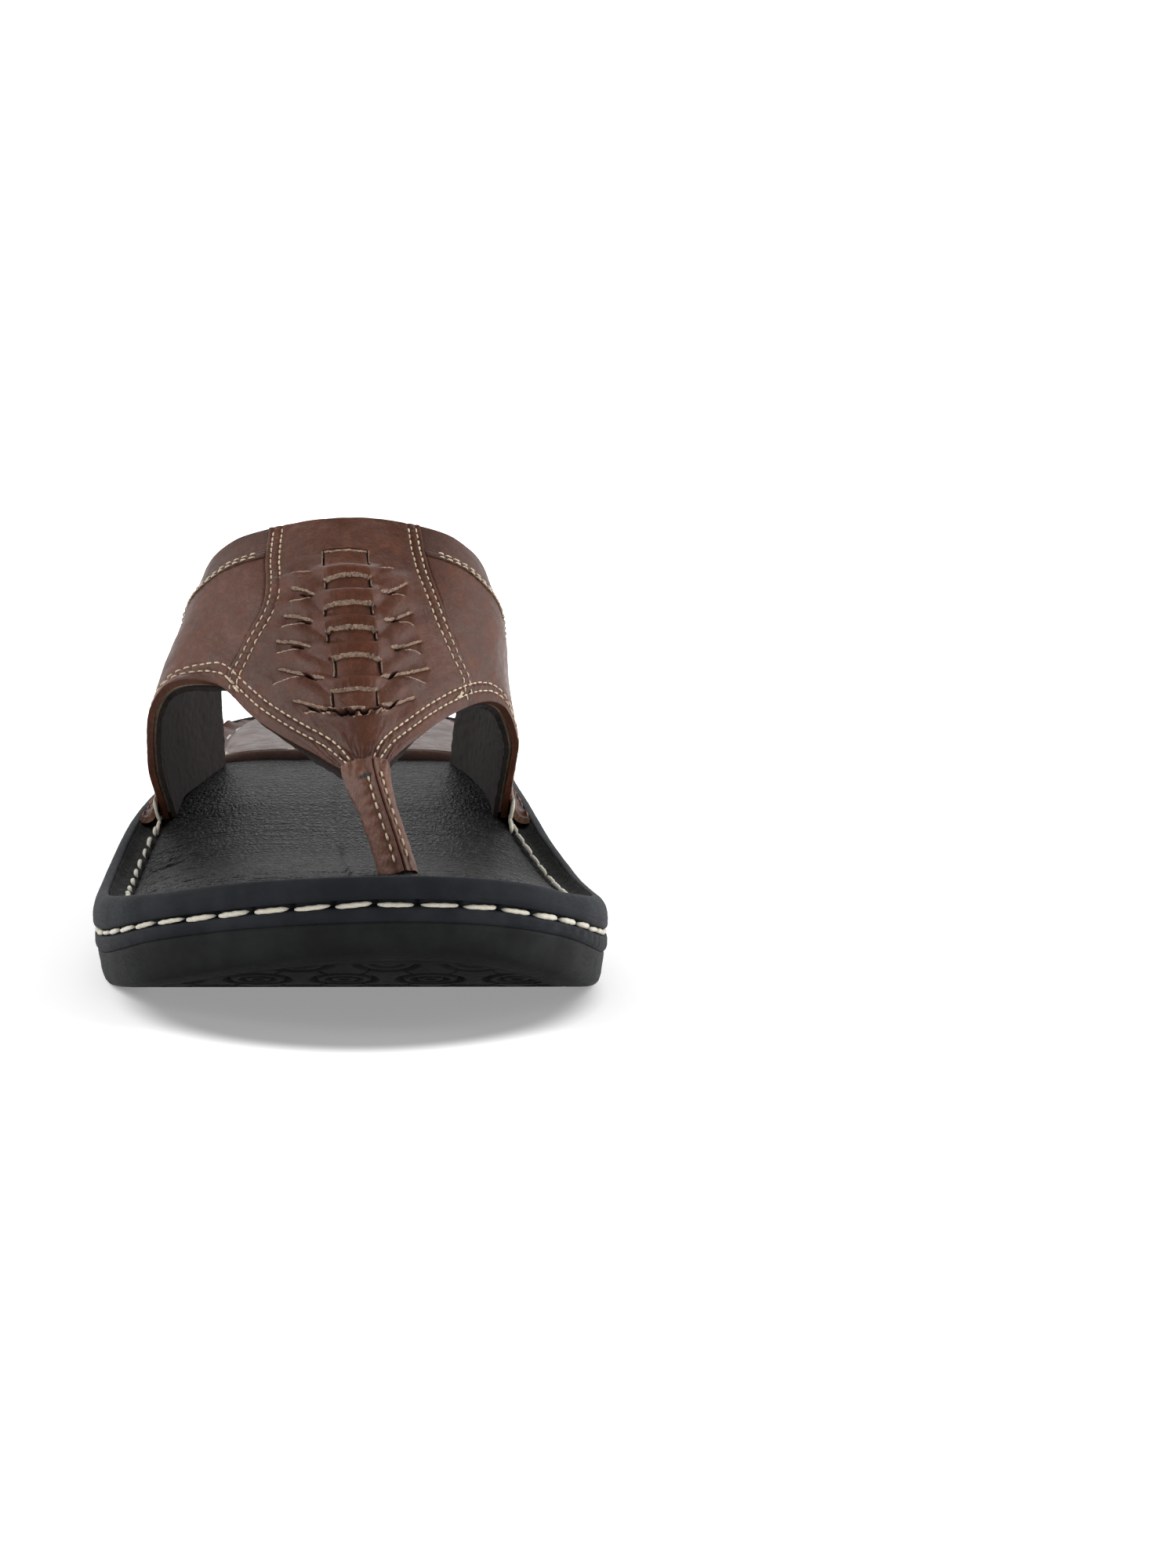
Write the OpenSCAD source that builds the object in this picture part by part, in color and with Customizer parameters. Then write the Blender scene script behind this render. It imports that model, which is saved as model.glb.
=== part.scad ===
// Leather toe-post sandal, right foot.
// Toe towards -Y, heel towards +Y, big-toe side towards +X, sole down.
// Origin: on the ground, under the middle of the sole's overall box.

/* [Sole] */
// Overall length of the sole
sole_length = 288; // [274:2:304]
// Width of the sole across the ball of the foot
sole_width = 105.8; // [100:0.2:112]
// Width of the raised rim round the footbed
rim_w = 3.4; // [3:0.2:4]
// Depth of the cup below the top of the rim
cup_depth = 6; // [5.6:0.2:6.4]
// Thickness of the insole board
board_t = 2; // [1.6:0.1:2.4]

/* [Footbed] */
// Thickness of the footbed leather
cover_t = 1.3; // [1:0.1:1.6]
// Thickness of the padded heel cover
heel_pad_t = 2.2; // [1.6:0.2:2.8]
// Height of the padding at the middle of the forefoot, above its edge
dome_h = 6; // [4:0.5:7]

/* [Upper] */
// Thickness of the upper leather
leather_t = 1.5; // [1.2:0.1:1.8]
// Thickness of the interlining behind the leather
backing_t = 0.7; // [0.5:0.1:1]
// Thickness of the lining
lining_t = 1.1; // [0.8:0.1:1.4]
// Extra height of the instep arch
instep_lift = 0; // [-3:1:6]

/* [Toe post] */
// Radius of the leather tube round the toe post
post_r = 4.1; // [3.6:0.1:4.6]
// Radius of the webbing core inside the tube
core_r = 2.4; // [2:0.1:2.8]

/* [Stitching] */
// Thickness of the sole thread
thread_t = 0.9; // [0.7:0.1:1.2]
// Share of each stitch pitch that the thread covers
stitch_fill = 0.86; // [0.7:0.02:0.92]

/* [Hidden] */
kx = sole_width / 105.8;
ky = sole_length / 288;

// ---- curves through hand-set tables -------------------------------------
function seg(T, x, i = 0) = (i >= len(T) - 2 || x < T[i + 1][0]) ? i : seg(T, x, i + 1);
function slope(T, i) = let (a = max(i - 1, 0), b = min(i + 1, len(T) - 1))
    (T[b][1] - T[a][1]) / (T[b][0] - T[a][0]);
function tab(T, x0) = let (x = min(max(x0, T[0][0]), T[len(T) - 1][0]), i = seg(T, x),
        h = T[i + 1][0] - T[i][0], u = (x - T[i][0]) / h)
    (2*u*u*u - 3*u*u + 1) * T[i][1] + (u*u*u - 2*u*u + u) * h * slope(T, i)
    + (3*u*u - 2*u*u*u) * T[i + 1][1] + (u*u*u - u*u) * h * slope(T, i + 1);

// Outline of the sole, from the toe tip round by the big-toe side
OUT = [[14,-144],[30,-139.5],[42,-128],[49.5,-109],[52.6,-84],[52,-60],[48.5,-35],
    [43.5,-8],[40.5,20],[39,50],[38.5,80],[37.5,104],[32,125],[18,139.5],[-2,144],
    [-22,139.5],[-35.5,125],[-41,104],[-42.5,80],[-44.5,50],[-47.5,20],[-50.5,-8],
    [-52.6,-38],[-52.3,-66],[-49,-93],[-40.5,-117],[-24,-133.5],[-5,-141.5]];
// Height of the rim, the side stitch, the parting line and the lower edge
ZR = [[-144,29],[-134,26.2],[-123,23.2],[-110,20.9],[-97,19],[-80,17],[-60,15.8],
    [-45,16.2],[-30,18.2],[-15,21.2],[0,24],[20,26.2],[45,27.3],[70,28],[90,28.9],
    [108,31],[123,33.2],[135,34.2],[144,34.8]];
ZS = [[-144,24.2],[-134,20.7],[-123,17.6],[-110,14.3],[-95,11.5],[-80,10],[-60,9.3],
    [-40,9.3],[-20,10.6],[0,11.6],[25,12],[50,12],[80,11.8],[92,12.2],[108,14.8],
    [123,18.2],[135,21.4],[144,24.7]];
ZG = [[-144,20.6],[-134,17.4],[-123,14.2],[-110,10.6],[-95,7.6],[-80,6],[-60,5.2],
    [-40,5.2],[0,5.8],[40,6],[80,5.8],[92,6],[108,8.9],[123,12.4],[135,15.5],[144,18.7]];
ZB = [[-144,16],[-134,11],[-123,6.8],[-110,3.2],[-97,1],[-86,0],[90,0],[99,0.7],
    [109,2.6],[123,5.8],[135,9],[144,12.5]];
// Edges of the padded footbed: y, little-toe side, big-toe side
FBL = [[-135,4],[-132,-9],[-126,-21],[-116,-32],[-100,-40],[-80,-43.2],[-55,-43.9],
    [-30,-43],[-12,-41],[0,-37.6],[25,-37],[50,-34.2],[72,-30.4],[80,-32],[100,-31.6],
    [116,-28.6],[126,-22],[132,-12.5],[135,-7]];
FBR = [[-135,24],[-132,32],[-126,37.5],[-116,41],[-100,43],[-80,43.3],[-55,42],
    [-30,38],[-12,34],[0,30.2],[25,29],[50,25.8],[72,21.6],[80,28],[100,28.6],
    [116,25.8],[126,19],[132,9],[135,3]];
DOME = [[-135,0.3],[-110,0.6],[-80,1],[-40,1],[0,0.6],[40,0.4],[75,0.25],[135,0.2]];
YS = [-146,-141,-136,-131,-126,-120,-114,-108,-100,-92,-84,-72,-60,-48,-36,-24,-12,0,
    12,25,40,60,80,88,96,104,112,120,128,135,140,146];
YB = [-146,-141,-136,-131,-126,-120,-114,-108,-102,-96,-91,-86,90,95,100,106,112,118,
    124,130,135,140,146];

// ---- sole outline --------------------------------------------------------
NO = 84;
function cr(a, b, c, d, f) = 0.5 * (2*b + (c - a)*f + (2*a - 5*b + 4*c - d)*f*f
    + (3*b - a - 3*c + d)*f*f*f);
function ring0() = let (n = len(OUT)) [for (i = [0:NO-1]) let (u = i*n/NO, k = floor(u + 1e-6), f = u - k,
    p = cr(OUT[(k+n-1)%n], OUT[k%n], OUT[(k+1)%n], OUT[(k+2)%n], f)) [p[0]*kx, p[1]*ky]];
RING = ring0();
function inset(d) = [for (i = [0:NO-1]) let (a = RING[(i+1)%NO] - RING[(i+NO-1)%NO])
    RING[i] + [-a[1], a[0]] / norm(a) * d];
function rev(L) = [for (i = [len(L)-1:-1:0]) L[i]];
// Everything between two heights that change along the length
module band(T1, d1, Y1, T2, d2, Y2)
    rotate([90, 0, 90]) translate([0, 0, -80]) linear_extrude(160)
        polygon(concat([for (y = Y1) [y*ky, tab(T1, y) + d1]], [for (y = rev(Y2)) [y*ky, tab(T2, y) + d2]]));
module plan(d) linear_extrude(60) polygon(inset(d));
module ringband(d1, d2, e1, e2) intersection() {
    difference() { plan(d1); translate([0, 0, -1]) linear_extrude(62) polygon(inset(d2)); }
    band(ZR, e1, YS, ZR, e2, YS);
}

// ---- closed shell between two grids of points ----------------------------
module shell(A, B) {
    m = len(A); n = len(A[0]); o = m*n;
    pts = concat([for (r = A) for (p = r) p], [for (r = B) for (p = r) p]);
    polyhedron(points = pts, faces = concat(
        [for (i = [0:m-2]) for (j = [0:n-2]) each
            [[i*n+j, i*n+j+1, (i+1)*n+j+1], [i*n+j, (i+1)*n+j+1, (i+1)*n+j],
             [o+i*n+j, o+(i+1)*n+j+1, o+i*n+j+1], [o+i*n+j, o+(i+1)*n+j, o+(i+1)*n+j+1]]],
        [for (i = [0:m-2]) each
            [[i*n, (i+1)*n, o+(i+1)*n], [i*n, o+(i+1)*n, o+i*n],
             [i*n+n-1, o+(i+1)*n+n-1, (i+1)*n+n-1], [i*n+n-1, o+i*n+n-1, o+(i+1)*n+n-1]]],
        [for (j = [0:n-2]) each
            [[j, o+j, o+j+1], [j, o+j+1, j+1],
             [(m-1)*n+j, o+(m-1)*n+j+1, o+(m-1)*n+j], [(m-1)*n+j, (m-1)*n+j+1, o+(m-1)*n+j+1]]]),
        convexity = 8);
}

// ---- padded footbed ------------------------------------------------------
FY = [-135,-132,-127,-120,-110,-98,-84,-66,-48,-30,-14,0,16,34,52,70,76,86,98,110,120,128,132,135];
function fbz(y, w) = tab(ZR, y) - 0.8 + dome_h * tab(DOME, y) * (1 - w*w*w*w);
function fbgrid(ys, in, dz) = [for (y = ys) [for (j = [-6:6]) let (w = j/6,
    a = tab(FBL, y) + in, b = tab(FBR, y) - in, x = (a+b)/2 + w*(b-a)/2)
    [x*kx, (y < 0 ? y + in*0.6 : y - in*0.6)*ky, fbz(y, w) + dz]]];
function fbflat(ys, in, e) = [for (y = ys) [for (j = [-6:6]) let (w = j/6,
    a = tab(FBL, y) + in, b = tab(FBR, y) - in, x = (a+b)/2 + w*(b-a)/2)
    [x*kx, (y < 0 ? y + in*0.6 : y - in*0.6)*ky, tab(ZR, y) + e]]];

// ---- upper surface: a net of points, outside to outside -------------------
// Each row is a line from the front edge to the back edge
NET = [
[[-42,-1,23],[-41.5,23,25.4],[-38.5,48,26.4],[-34.5,72,27.2]],
[[-44.6,-8,36],[-43.5,14,37.5],[-39.5,37,38.5],[-34.5,60,39]],
[[-44,-11,48],[-43.8,9,48.5],[-39.8,29,49.5],[-34.2,49,50]],
[[-39,-13,54.5],[-41.6,3,57.5],[-39.2,20,60.5],[-33.5,36,62]],
[[-29.5,-20,55],[-35.6,-7,63],[-36,7,70.5],[-32,20,75]],
[[-20.5,-36,49],[-25,-20,60.5],[-28,-4,73.5],[-26,11,83.5]],
[[-9,-53,44],[-12,-32,60],[-14,-12,76.5],[-13.5,6,88.5]],
[[3.5,-68,40],[2,-44,57],[0,-20,75.5],[-2,4,90]],
[[12.5,-53,45],[12.5,-32,60.5],[12,-12,77],[10,5,89]],
[[20.5,-36,49],[23.5,-20.5,60.5],[25,-5,74],[21.5,9,84.5]],
[[28.5,-20,51],[31.5,-7,59.5],[32.5,5,69.5],[28,18,77]],
[[33.5,-12,49],[34.8,3,54.5],[34.2,17,60.5],[29.5,32,65]],
[[36.3,-9,41.5],[36,9,45],[33,28,48.5],[28,46,51]],
[[36.2,-6,35],[35.2,15,37],[32,38,39],[26.5,60,40]],
[[34.5,-1,23.4],[33.5,23,25.6],[30.5,48,26.6],[25.8,72,27.2]]];
function h4(a, b, c, d, u) = (2*u*u*u - 3*u*u + 1)*b + (u*u*u - 2*u*u + u)*(c - a)
    + (3*u*u - 2*u*u*u)*c + (u*u*u - u*u)*(d - b);
function ends(L, i) = let (n = len(L) - 1) i < 0 ? 2*L[0] - L[1] : i > n ? 2*L[n] - L[n-1] : L[i];
function along(L, x) = let (n = len(L) - 1, k = min(max(floor(x), 0), n - 1), u = x - k,
    a = k == 0 ? L[0] - (L[1] - L[0]) : L[k-1], d = k == n-1 ? L[n] + (L[n] - L[n-1]) : L[k+2],
    sa = k == 0 ? L[1] - L[0] : (L[k+1] - L[k-1])/2, sb = k == n-1 ? L[n] - L[n-1] : (L[k+2] - L[k])/2)
    (2*u*u*u - 3*u*u + 1)*L[k] + (u*u*u - 2*u*u + u)*sa + (3*u*u - 2*u*u*u)*L[k+1] + (u*u*u - u*u)*sb;
function U0(s, t) = along([for (j = [0:3]) along([for (r = NET) r[j]], s*14)], t*3);
function U(s, t) = let (p = U0(s, t), g = min(max((p[2] - 30)/60, 0), 1))
    [p[0]*kx, p[1]*ky, p[2] + instep_lift*g];
function un(s, t) = let (e = 0.004, a = U(min(s+e, 1), t) - U(max(s-e, 0), t),
    b = U(s, min(t+e, 1)) - U(s, max(t-e, 0)), n = cross(a, b)) n / norm(n);
function off(s, t, d) = U(s, t) - d*un(s, t);
// Seams between the vamp and the side panels, and the top collar seam
SL = [[0,0.318],[0.1,0.332],[0.205,0.346],[0.345,0.37],[0.45,0.39],[0.56,0.41],[0.66,0.416],[0.8,0.414],[1,0.413]];
SR = [[0,0.69],[0.1,0.675],[0.213,0.66],[0.355,0.634],[0.46,0.616],[0.55,0.604],[0.67,0.593],[0.79,0.588],[1,0.587]];
TC = [[0,0.7],[0.6,0.7],[0.75,0.77],[0.86,0.83],[1,0.845]];
NL = 10; NV = 8; NM = 10; NT1 = 7; NT2 = 3;
// t of row j in a column whose seam share is u
function tt(u, j) = let (c = tab(TC, u)) j <= NT1 ? c*j/NT1 : c + (1 - c)*(j - NT1)/NT2;
function st(i, j) = i <= NL ? let (u = i/NL, t = tt(u, j)) [u*tab(SL, t), t]
    : i <= NL + NV ? let (t = tt(1, j), v = (i - NL)/NV) [tab(SL, t)*(1 - v) + tab(SR, t)*v, t]
    : let (u = (NL + NV + NM - i)/NM, t = tt(u, j)) [1 - u*(1 - tab(SR, t)), t];
NA = NL + NV + NM; NB = NT1 + NT2;
function lay(d, i0, i1, j0, j1) = [for (i = [i0:i1]) [for (j = [j0:j1]) let (q = st(i, j)) off(q[0], q[1], d)]];
module skin(d0, d1, i0, i1, j0, j1) shell(lay(d0, i0, i1, j0, j1), lay(d1, i0, i1, j0, j1));
d1 = leather_t; d2 = leather_t + backing_t; d3 = d2 + lining_t;

// A short bar of thread laid on the upper between two surface places
module bar(s0, t0, s1, t1, w, h) {
    p = U(s0, t0); q = U(s1, t1); m = (p + q)/2; v = q - p; n = un((s0+s1)/2, (t0+t1)/2);
    x = v/norm(v); z = n - (n*x)*x; zz = z/norm(z); y = cross(zz, x);
    multmatrix([[x[0], y[0], zz[0], m[0]], [x[1], y[1], zz[1], m[1]], [x[2], y[2], zz[2], m[2]], [0, 0, 0, 1]])
        translate([-norm(v)/2, -w/2, 0.02]) cube([norm(v), w, h]);
}
// A bar of thread in plan that follows a height table
module flatbar(p, q, T, e, w, h) {
    v = q - p; L = norm(v); a = atan2(v[1], v[0]);
    z0 = tab(T, p[1]/ky) + e; z1 = tab(T, q[1]/ky) + e;
    translate([(p[0]+q[0])/2, (p[1]+q[1])/2, (z0+z1)/2]) rotate([0, 0, a]) rotate([0, -atan((z1-z0)/L), 0])
        translate([-L*stitch_fill/2, -w/2, 0]) cube([L*stitch_fill, w, h]);
}

// ---- toe post ------------------------------------------------------------
PB = [11*kx, -80*ky, 22.6];
PT = [3.8*kx, -68.4*ky, 39.4];
module leaning(r, a, b) {
    v = b - a;
    translate(a) rotate([0, acos(v[2]/norm(v)), atan2(v[1], v[0])]) cylinder(r = r, h = norm(v), $fn = 40);
}
module post_hole(r) translate([PB[0], PB[1], 4]) cylinder(r = r, h = 30, $fn = 40);

// ---- parts ---------------------------------------------------------------
module outsole() color([0.13, 0.13, 0.135]) intersection() {
    plan(1.4);
    band(ZB, 0, YB, ZG, 0, YS);
}
module midsole() color([0.16, 0.165, 0.17]) difference() {
    intersection() { plan(0); band(ZG, 0, YS, ZR, 0, YS); }
    intersection() { plan(rim_w); band(ZR, -cup_depth, YS, ZR, 10, YS); }
    translate([PB[0], PB[1], 8.6]) cylinder(r = 9.1, h = 20, $fn = 48);
}
module sidewall_stitch() color([0.88, 0.86, 0.79]) for (i = [0:NO-1]) {
    p = RING[i]; q = RING[(i+1)%NO]; v = (q - p)/norm(q - p); o = [v[1], -v[0]]*thread_t/2;
    translate([0, 0, -0.7]) flatbar(p + o, q + o, ZS, 0, thread_t, 1.4);
}
module insole_board() color([0.62, 0.5, 0.36]) difference() {
    intersection() { plan(rim_w + 0.2); band(ZR, -cup_depth, YS, ZR, -cup_depth + board_t, YS); }
    post_hole(core_r + 0.1);
}
module footbed_foam() color([0.85, 0.8, 0.6]) difference() {
    shell(fbgrid(FY, 1.2, -cover_t), fbflat(FY, 1.2, -cup_depth + board_t));
    post_hole(core_r + 0.1);
}
module footbed_cover() color([0.1, 0.1, 0.105]) difference() {
    shell(fbgrid(FY, 0, 0), fbgrid(FY, 0, -cover_t));
    post_hole(core_r + 0.1);
}
module margin_ring() ringband(rim_w + 0.2, 8.6, -cup_depth + board_t, -1);
module footbed_margin() color([0.09, 0.09, 0.09]) intersection() {
    margin_ring();
    translate([-80, -160, 0]) cube([160, 156*ky, 80]);
}
module heel_margin() color([0.36, 0.22, 0.17]) intersection() {
    margin_ring();
    translate([-80, 74*ky, 0]) cube([160, 100, 80]);
}
module side_margin(x) intersection() {
    margin_ring();
    translate([x, -3.6*ky, 0]) cube([80, 77.2*ky, 80]);
}
module lateral_margin() color([0.36, 0.22, 0.17]) side_margin(-80);
module medial_margin() color([0.36, 0.22, 0.17]) side_margin(0);
HY = [76,84,94,104,114,122,128,132,134];
module heel_pad() color([0.38, 0.25, 0.2])
    shell(fbgrid(HY, 0.6, heel_pad_t), fbgrid(HY, 0.6, 0.02));
module heel_pad_stitch() color([0.75, 0.68, 0.56]) for (i = [-9:9]) {
    y = 79; w = (i + 0.12)/10; w2 = (i + 0.88)/10; a = tab(FBL, y) + 2; b = tab(FBR, y) - 2;
    x0 = (a+b)/2 + w*(b-a)/2 - 1.2; x1 = (a+b)/2 + w2*(b-a)/2 - 1.2;
    translate([x0*kx, y*ky, fbz(y, w*0.9) + heel_pad_t - 0.1]) cube([(x1-x0)*kx, 0.8, 0.7]);
}
module footbed_stitch() color([0.88, 0.86, 0.79]) {
    R = inset(7.6);
    for (i = [0:NO-1]) flatbar(R[i], R[(i+1)%NO], ZR, -0.98, 1.1, 1);
}
module toe_post_anchor() color([0.2, 0.2, 0.2]) difference() {
    translate([PB[0], PB[1], 8.6]) cylinder(r = 9, h = 1.6, $fn = 48);
    post_hole(core_r + 0.02);
}
module toe_post_core() color([0.15, 0.15, 0.15]) {
    translate([PB[0], PB[1], 8.6]) cylinder(r = core_r, h = PB[2] - 8.6, $fn = 40);
    translate(PB) sphere(r = core_r, $fn = 40);
    leaning(core_r, PB, PT);
}
module toe_post_cover() color([0.36, 0.22, 0.17]) difference() {
    leaning(post_r, PB - 0.03*(PT - PB), PT);
    leaning(core_r + 0.05, PB - 0.2*(PT - PB), PT + 0.2*(PT - PB));
    translate([PB[0], PB[1], 0]) cylinder(r = core_r + 0.05, h = PB[2], $fn = 40);
    translate([PB[0] - 12, PB[1] - 12, PB[2] - 6]) cube([24, 24, 6.1]);
}
module toe_post_stitch() color([0.75, 0.68, 0.56]) {
    v = PT - PB; L = norm(v); u = v/L; side = cross(u, [0, -1, 0]); sd = side/norm(side); fr = cross(u, sd);
    for (k = [-1, 1]) for (i = [0:6]) {
        f = 0.12 + i*0.12;
        c = PB + f*v - fr*(post_r*0.97) + sd*k*0.9;
        multmatrix([[u[0], sd[0], fr[0], c[0]], [u[1], sd[1], fr[1], c[1]], [u[2], sd[2], fr[2], c[2]], [0, 0, 0, 1]])
            translate([0, -0.3, -0.35]) cube([L*0.08, 0.6, 0.35]);
    }
}
module vamp_panel() color([0.4, 0.24, 0.18]) skin(0, d1, NL, NL + NV, 0, NB);
module lateral_quarter() color([0.38, 0.25, 0.2]) skin(0, d1, 0, NL, 0, NT1);
module medial_quarter() color([0.38, 0.25, 0.2]) skin(0, d1, NL + NV, NA, 0, NT1);
module lateral_collar() color([0.34, 0.21, 0.17]) skin(0, d1, 0, NL, NT1, NB);
module medial_collar() color([0.34, 0.21, 0.17]) skin(0, d1, NL + NV, NA, NT1, NB);
module upper_backing() color([0.55, 0.5, 0.42]) skin(d1, d2, 0, NA, 0, NB);
module upper_lining() color([0.12, 0.1, 0.1]) skin(d2, d3, 0, NA, 0, NB);
// Flat strip that shows in six windows down the middle of the vamp
module weave_strip() color([0.42, 0.26, 0.2])
    for (t = [0.25, 0.36, 0.47, 0.565, 0.67, 0.765]) bar(0.498, t - 0.022, 0.498, t + 0.022, 9.6, 0.7);
module vamp_seam_stitch() color([0.75, 0.68, 0.56]) for (T = [SL, SR]) for (k = [-0.007, 0.007]) for (i = [0:21]) {
    t = 0.04 + i*0.043;
    bar(tab(T, t) + k, t, tab(T, t + 0.03) + k, t + 0.03, 0.6, 0.4);
}
module collar_seam_stitch() color([0.75, 0.68, 0.56]) for (m = [0, 1]) for (k = [-0.012, 0.012]) for (i = [0:13]) {
    u0 = 0.05 + i*0.065; u1 = u0 + 0.045;
    a0 = tab(TC, u0) + k; a1 = tab(TC, u1) + k;
    s0 = m == 0 ? u0*tab(SL, a0) : 1 - u0*(1 - tab(SR, a0));
    s1 = m == 0 ? u1*tab(SL, a1) : 1 - u1*(1 - tab(SR, a1));
    bar(s0, a0, s1, a1, 0.6, 0.4);
}
module front_edge_stitch() color([0.75, 0.68, 0.56]) for (k = [0.035, 0.075]) for (i = [0:54]) {
    s0 = 0.04 + i*0.0167; s1 = s0 + 0.012;
    if (abs((s0+s1)/2 - 0.5) > 0.03) bar(s0, k, s1, k, 0.6, 0.4);
}

outsole();
midsole();
sidewall_stitch();
insole_board();
footbed_foam();
footbed_cover();
footbed_margin();
heel_margin();
heel_pad();
heel_pad_stitch();
footbed_stitch();
toe_post_anchor();
toe_post_core();
toe_post_cover();
toe_post_stitch();
lateral_margin();
medial_margin();
vamp_panel();
lateral_quarter();
medial_quarter();
lateral_collar();
medial_collar();
upper_backing();
upper_lining();
weave_strip();
vamp_seam_stitch();
collar_seam_stitch();
front_edge_stitch();
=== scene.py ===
import math
import bpy
import numpy as np
from mathutils import Matrix, Vector


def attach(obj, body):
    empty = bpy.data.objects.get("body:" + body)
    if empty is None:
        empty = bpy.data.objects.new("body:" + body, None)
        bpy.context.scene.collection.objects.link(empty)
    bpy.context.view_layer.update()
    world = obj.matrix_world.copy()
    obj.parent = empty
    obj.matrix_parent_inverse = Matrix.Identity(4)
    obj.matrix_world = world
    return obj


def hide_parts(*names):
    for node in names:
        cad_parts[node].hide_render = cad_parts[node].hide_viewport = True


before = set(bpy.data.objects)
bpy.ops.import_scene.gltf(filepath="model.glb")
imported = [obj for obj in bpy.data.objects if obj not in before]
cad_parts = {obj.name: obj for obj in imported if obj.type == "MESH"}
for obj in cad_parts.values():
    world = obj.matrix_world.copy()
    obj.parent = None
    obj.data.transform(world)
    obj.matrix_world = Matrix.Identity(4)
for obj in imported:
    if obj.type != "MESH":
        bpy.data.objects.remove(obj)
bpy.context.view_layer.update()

MM = 0.001
Z3 = np.array([0.0, 0.0, 1.0])

# ------------------------------------------------------------------ tables
OUT = [[14,-144],[30,-139.5],[42,-128],[49.5,-109],[52.6,-84],[52,-60],[48.5,-35],[43.5,-8],[40.5,20],[39,50],
       [38.5,80],[37.5,104],[32,125],[18,139.5],[-2,144],[-22,139.5],[-35.5,125],[-41,104],[-42.5,80],[-44.5,50],
       [-47.5,20],[-50.5,-8],[-52.6,-38],[-52.3,-66],[-49,-93],[-40.5,-117],[-24,-133.5],[-5,-141.5]]
ZR = [[-144,29],[-134,26.2],[-123,23.2],[-110,20.9],[-97,19],[-80,17],[-60,15.8],[-45,16.2],[-30,18.2],[-15,21.2],
      [0,24],[20,26.2],[45,27.3],[70,28],[90,28.9],[108,31],[123,33.2],[135,34.2],[144,34.8]]
ZS = [[-144,24.2],[-134,20.7],[-123,17.6],[-110,14.3],[-95,11.5],[-80,10],[-60,9.3],[-40,9.3],[-20,10.6],[0,11.6],
      [25,12],[50,12],[80,11.8],[92,12.2],[108,14.8],[123,18.2],[135,21.4],[144,24.7]]
ZG = [[-144,20.6],[-134,17.4],[-123,14.2],[-110,10.6],[-95,7.6],[-80,6],[-60,5.2],[-40,5.2],[0,5.8],[40,6],[80,5.8],
      [92,6],[108,8.9],[123,12.4],[135,15.5],[144,18.7]]
ZB = [[-144,16],[-134,11],[-123,6.8],[-110,3.2],[-97,1],[-86,0],[90,0],[99,.7],[109,2.6],[123,5.8],[135,9],[144,12.5]]
ZH = [[60,16.6],[92,17.3],[108,20.3],[123,23.5],[135,26.7],[144,30.1]]
FBL = [[-135,4],[-132,-9],[-126,-21],[-116,-32],[-100,-40],[-80,-43.2],[-55,-43.9],[-30,-43],[-12,-41],[0,-37.6],
       [25,-37],[50,-34.2],[72,-30.4],[80,-32],[100,-31.6],[116,-28.6],[126,-22],[132,-12.5],[135,-7]]
FBR = [[-135,24],[-132,32],[-126,37.5],[-116,41],[-100,43],[-80,43.3],[-55,42],[-30,38],[-12,34],[0,30.2],[25,29],
       [50,25.8],[72,21.6],[80,28],[100,28.6],[116,25.8],[126,19],[132,9],[135,3]]
DOME = [[-135,.3],[-110,.6],[-80,1],[-40,1],[0,.6],[40,.4],[75,.25],[135,.2]]
SL = [[0,.318],[.1,.332],[.205,.346],[.345,.37],[.45,.39],[.56,.41],[.66,.416],[.8,.414],[1,.413]]
SR = [[0,.69],[.1,.675],[.213,.66],[.355,.634],[.46,.616],[.55,.604],[.67,.593],[.79,.588],[1,.587]]
TC = [[0,.7],[.6,.7],[.75,.77],[.86,.83],[1,.845]]
NET = np.array([
 [[-42,-1,23],[-41.5,23,25.4],[-38.5,48,26.4],[-34.5,72,27.2]],
 [[-44.6,-8,36],[-43.5,14,37.5],[-39.5,37,38.5],[-34.5,60,39]],
 [[-44,-11,48],[-43.8,9,48.5],[-39.8,29,49.5],[-34.2,49,50]],
 [[-39,-13,54.5],[-41.6,3,57.5],[-39.2,20,60.5],[-33.5,36,62]],
 [[-29.5,-20,55],[-35.6,-7,63],[-36,7,70.5],[-34,20,75.6]],
 [[-20.5,-36,49],[-25,-20,60.5],[-28,-4,73.5],[-27,11,84.2]],
 [[-9,-53,44],[-12,-32,60],[-14,-12,76.5],[-13.5,6,88.5]],
 [[3.5,-68,40],[2,-44,57],[0,-20,75.5],[-2,4,90]],
 [[12.5,-53,45],[12.5,-32,60.5],[12,-12,77],[10.2,5,89.3]],
 [[20.5,-36,49],[23.5,-20.5,60.5],[25,-5,74],[22.6,9,85.4]],
 [[28.5,-20,51],[31.5,-7,59.5],[32.5,5,69.5],[29.8,18,77.6]],
 [[33.5,-12,49],[34.8,3,54.5],[34.2,17,60.5],[29.5,32,65]],
 [[36.3,-9,41.5],[36,9,45],[33,28,48.5],[28,46,51]],
 [[36.2,-6,35],[35.2,15,37],[32,38,39],[26.5,60,40]],
 [[34.5,-1,23.4],[33.5,23,25.6],[30.5,48,26.6],[25.8,72,27.2]]], float)
PB = np.array([11.0, -80.0, 22.6])
PT = np.array([3.8, -68.4, 39.4])


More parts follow.
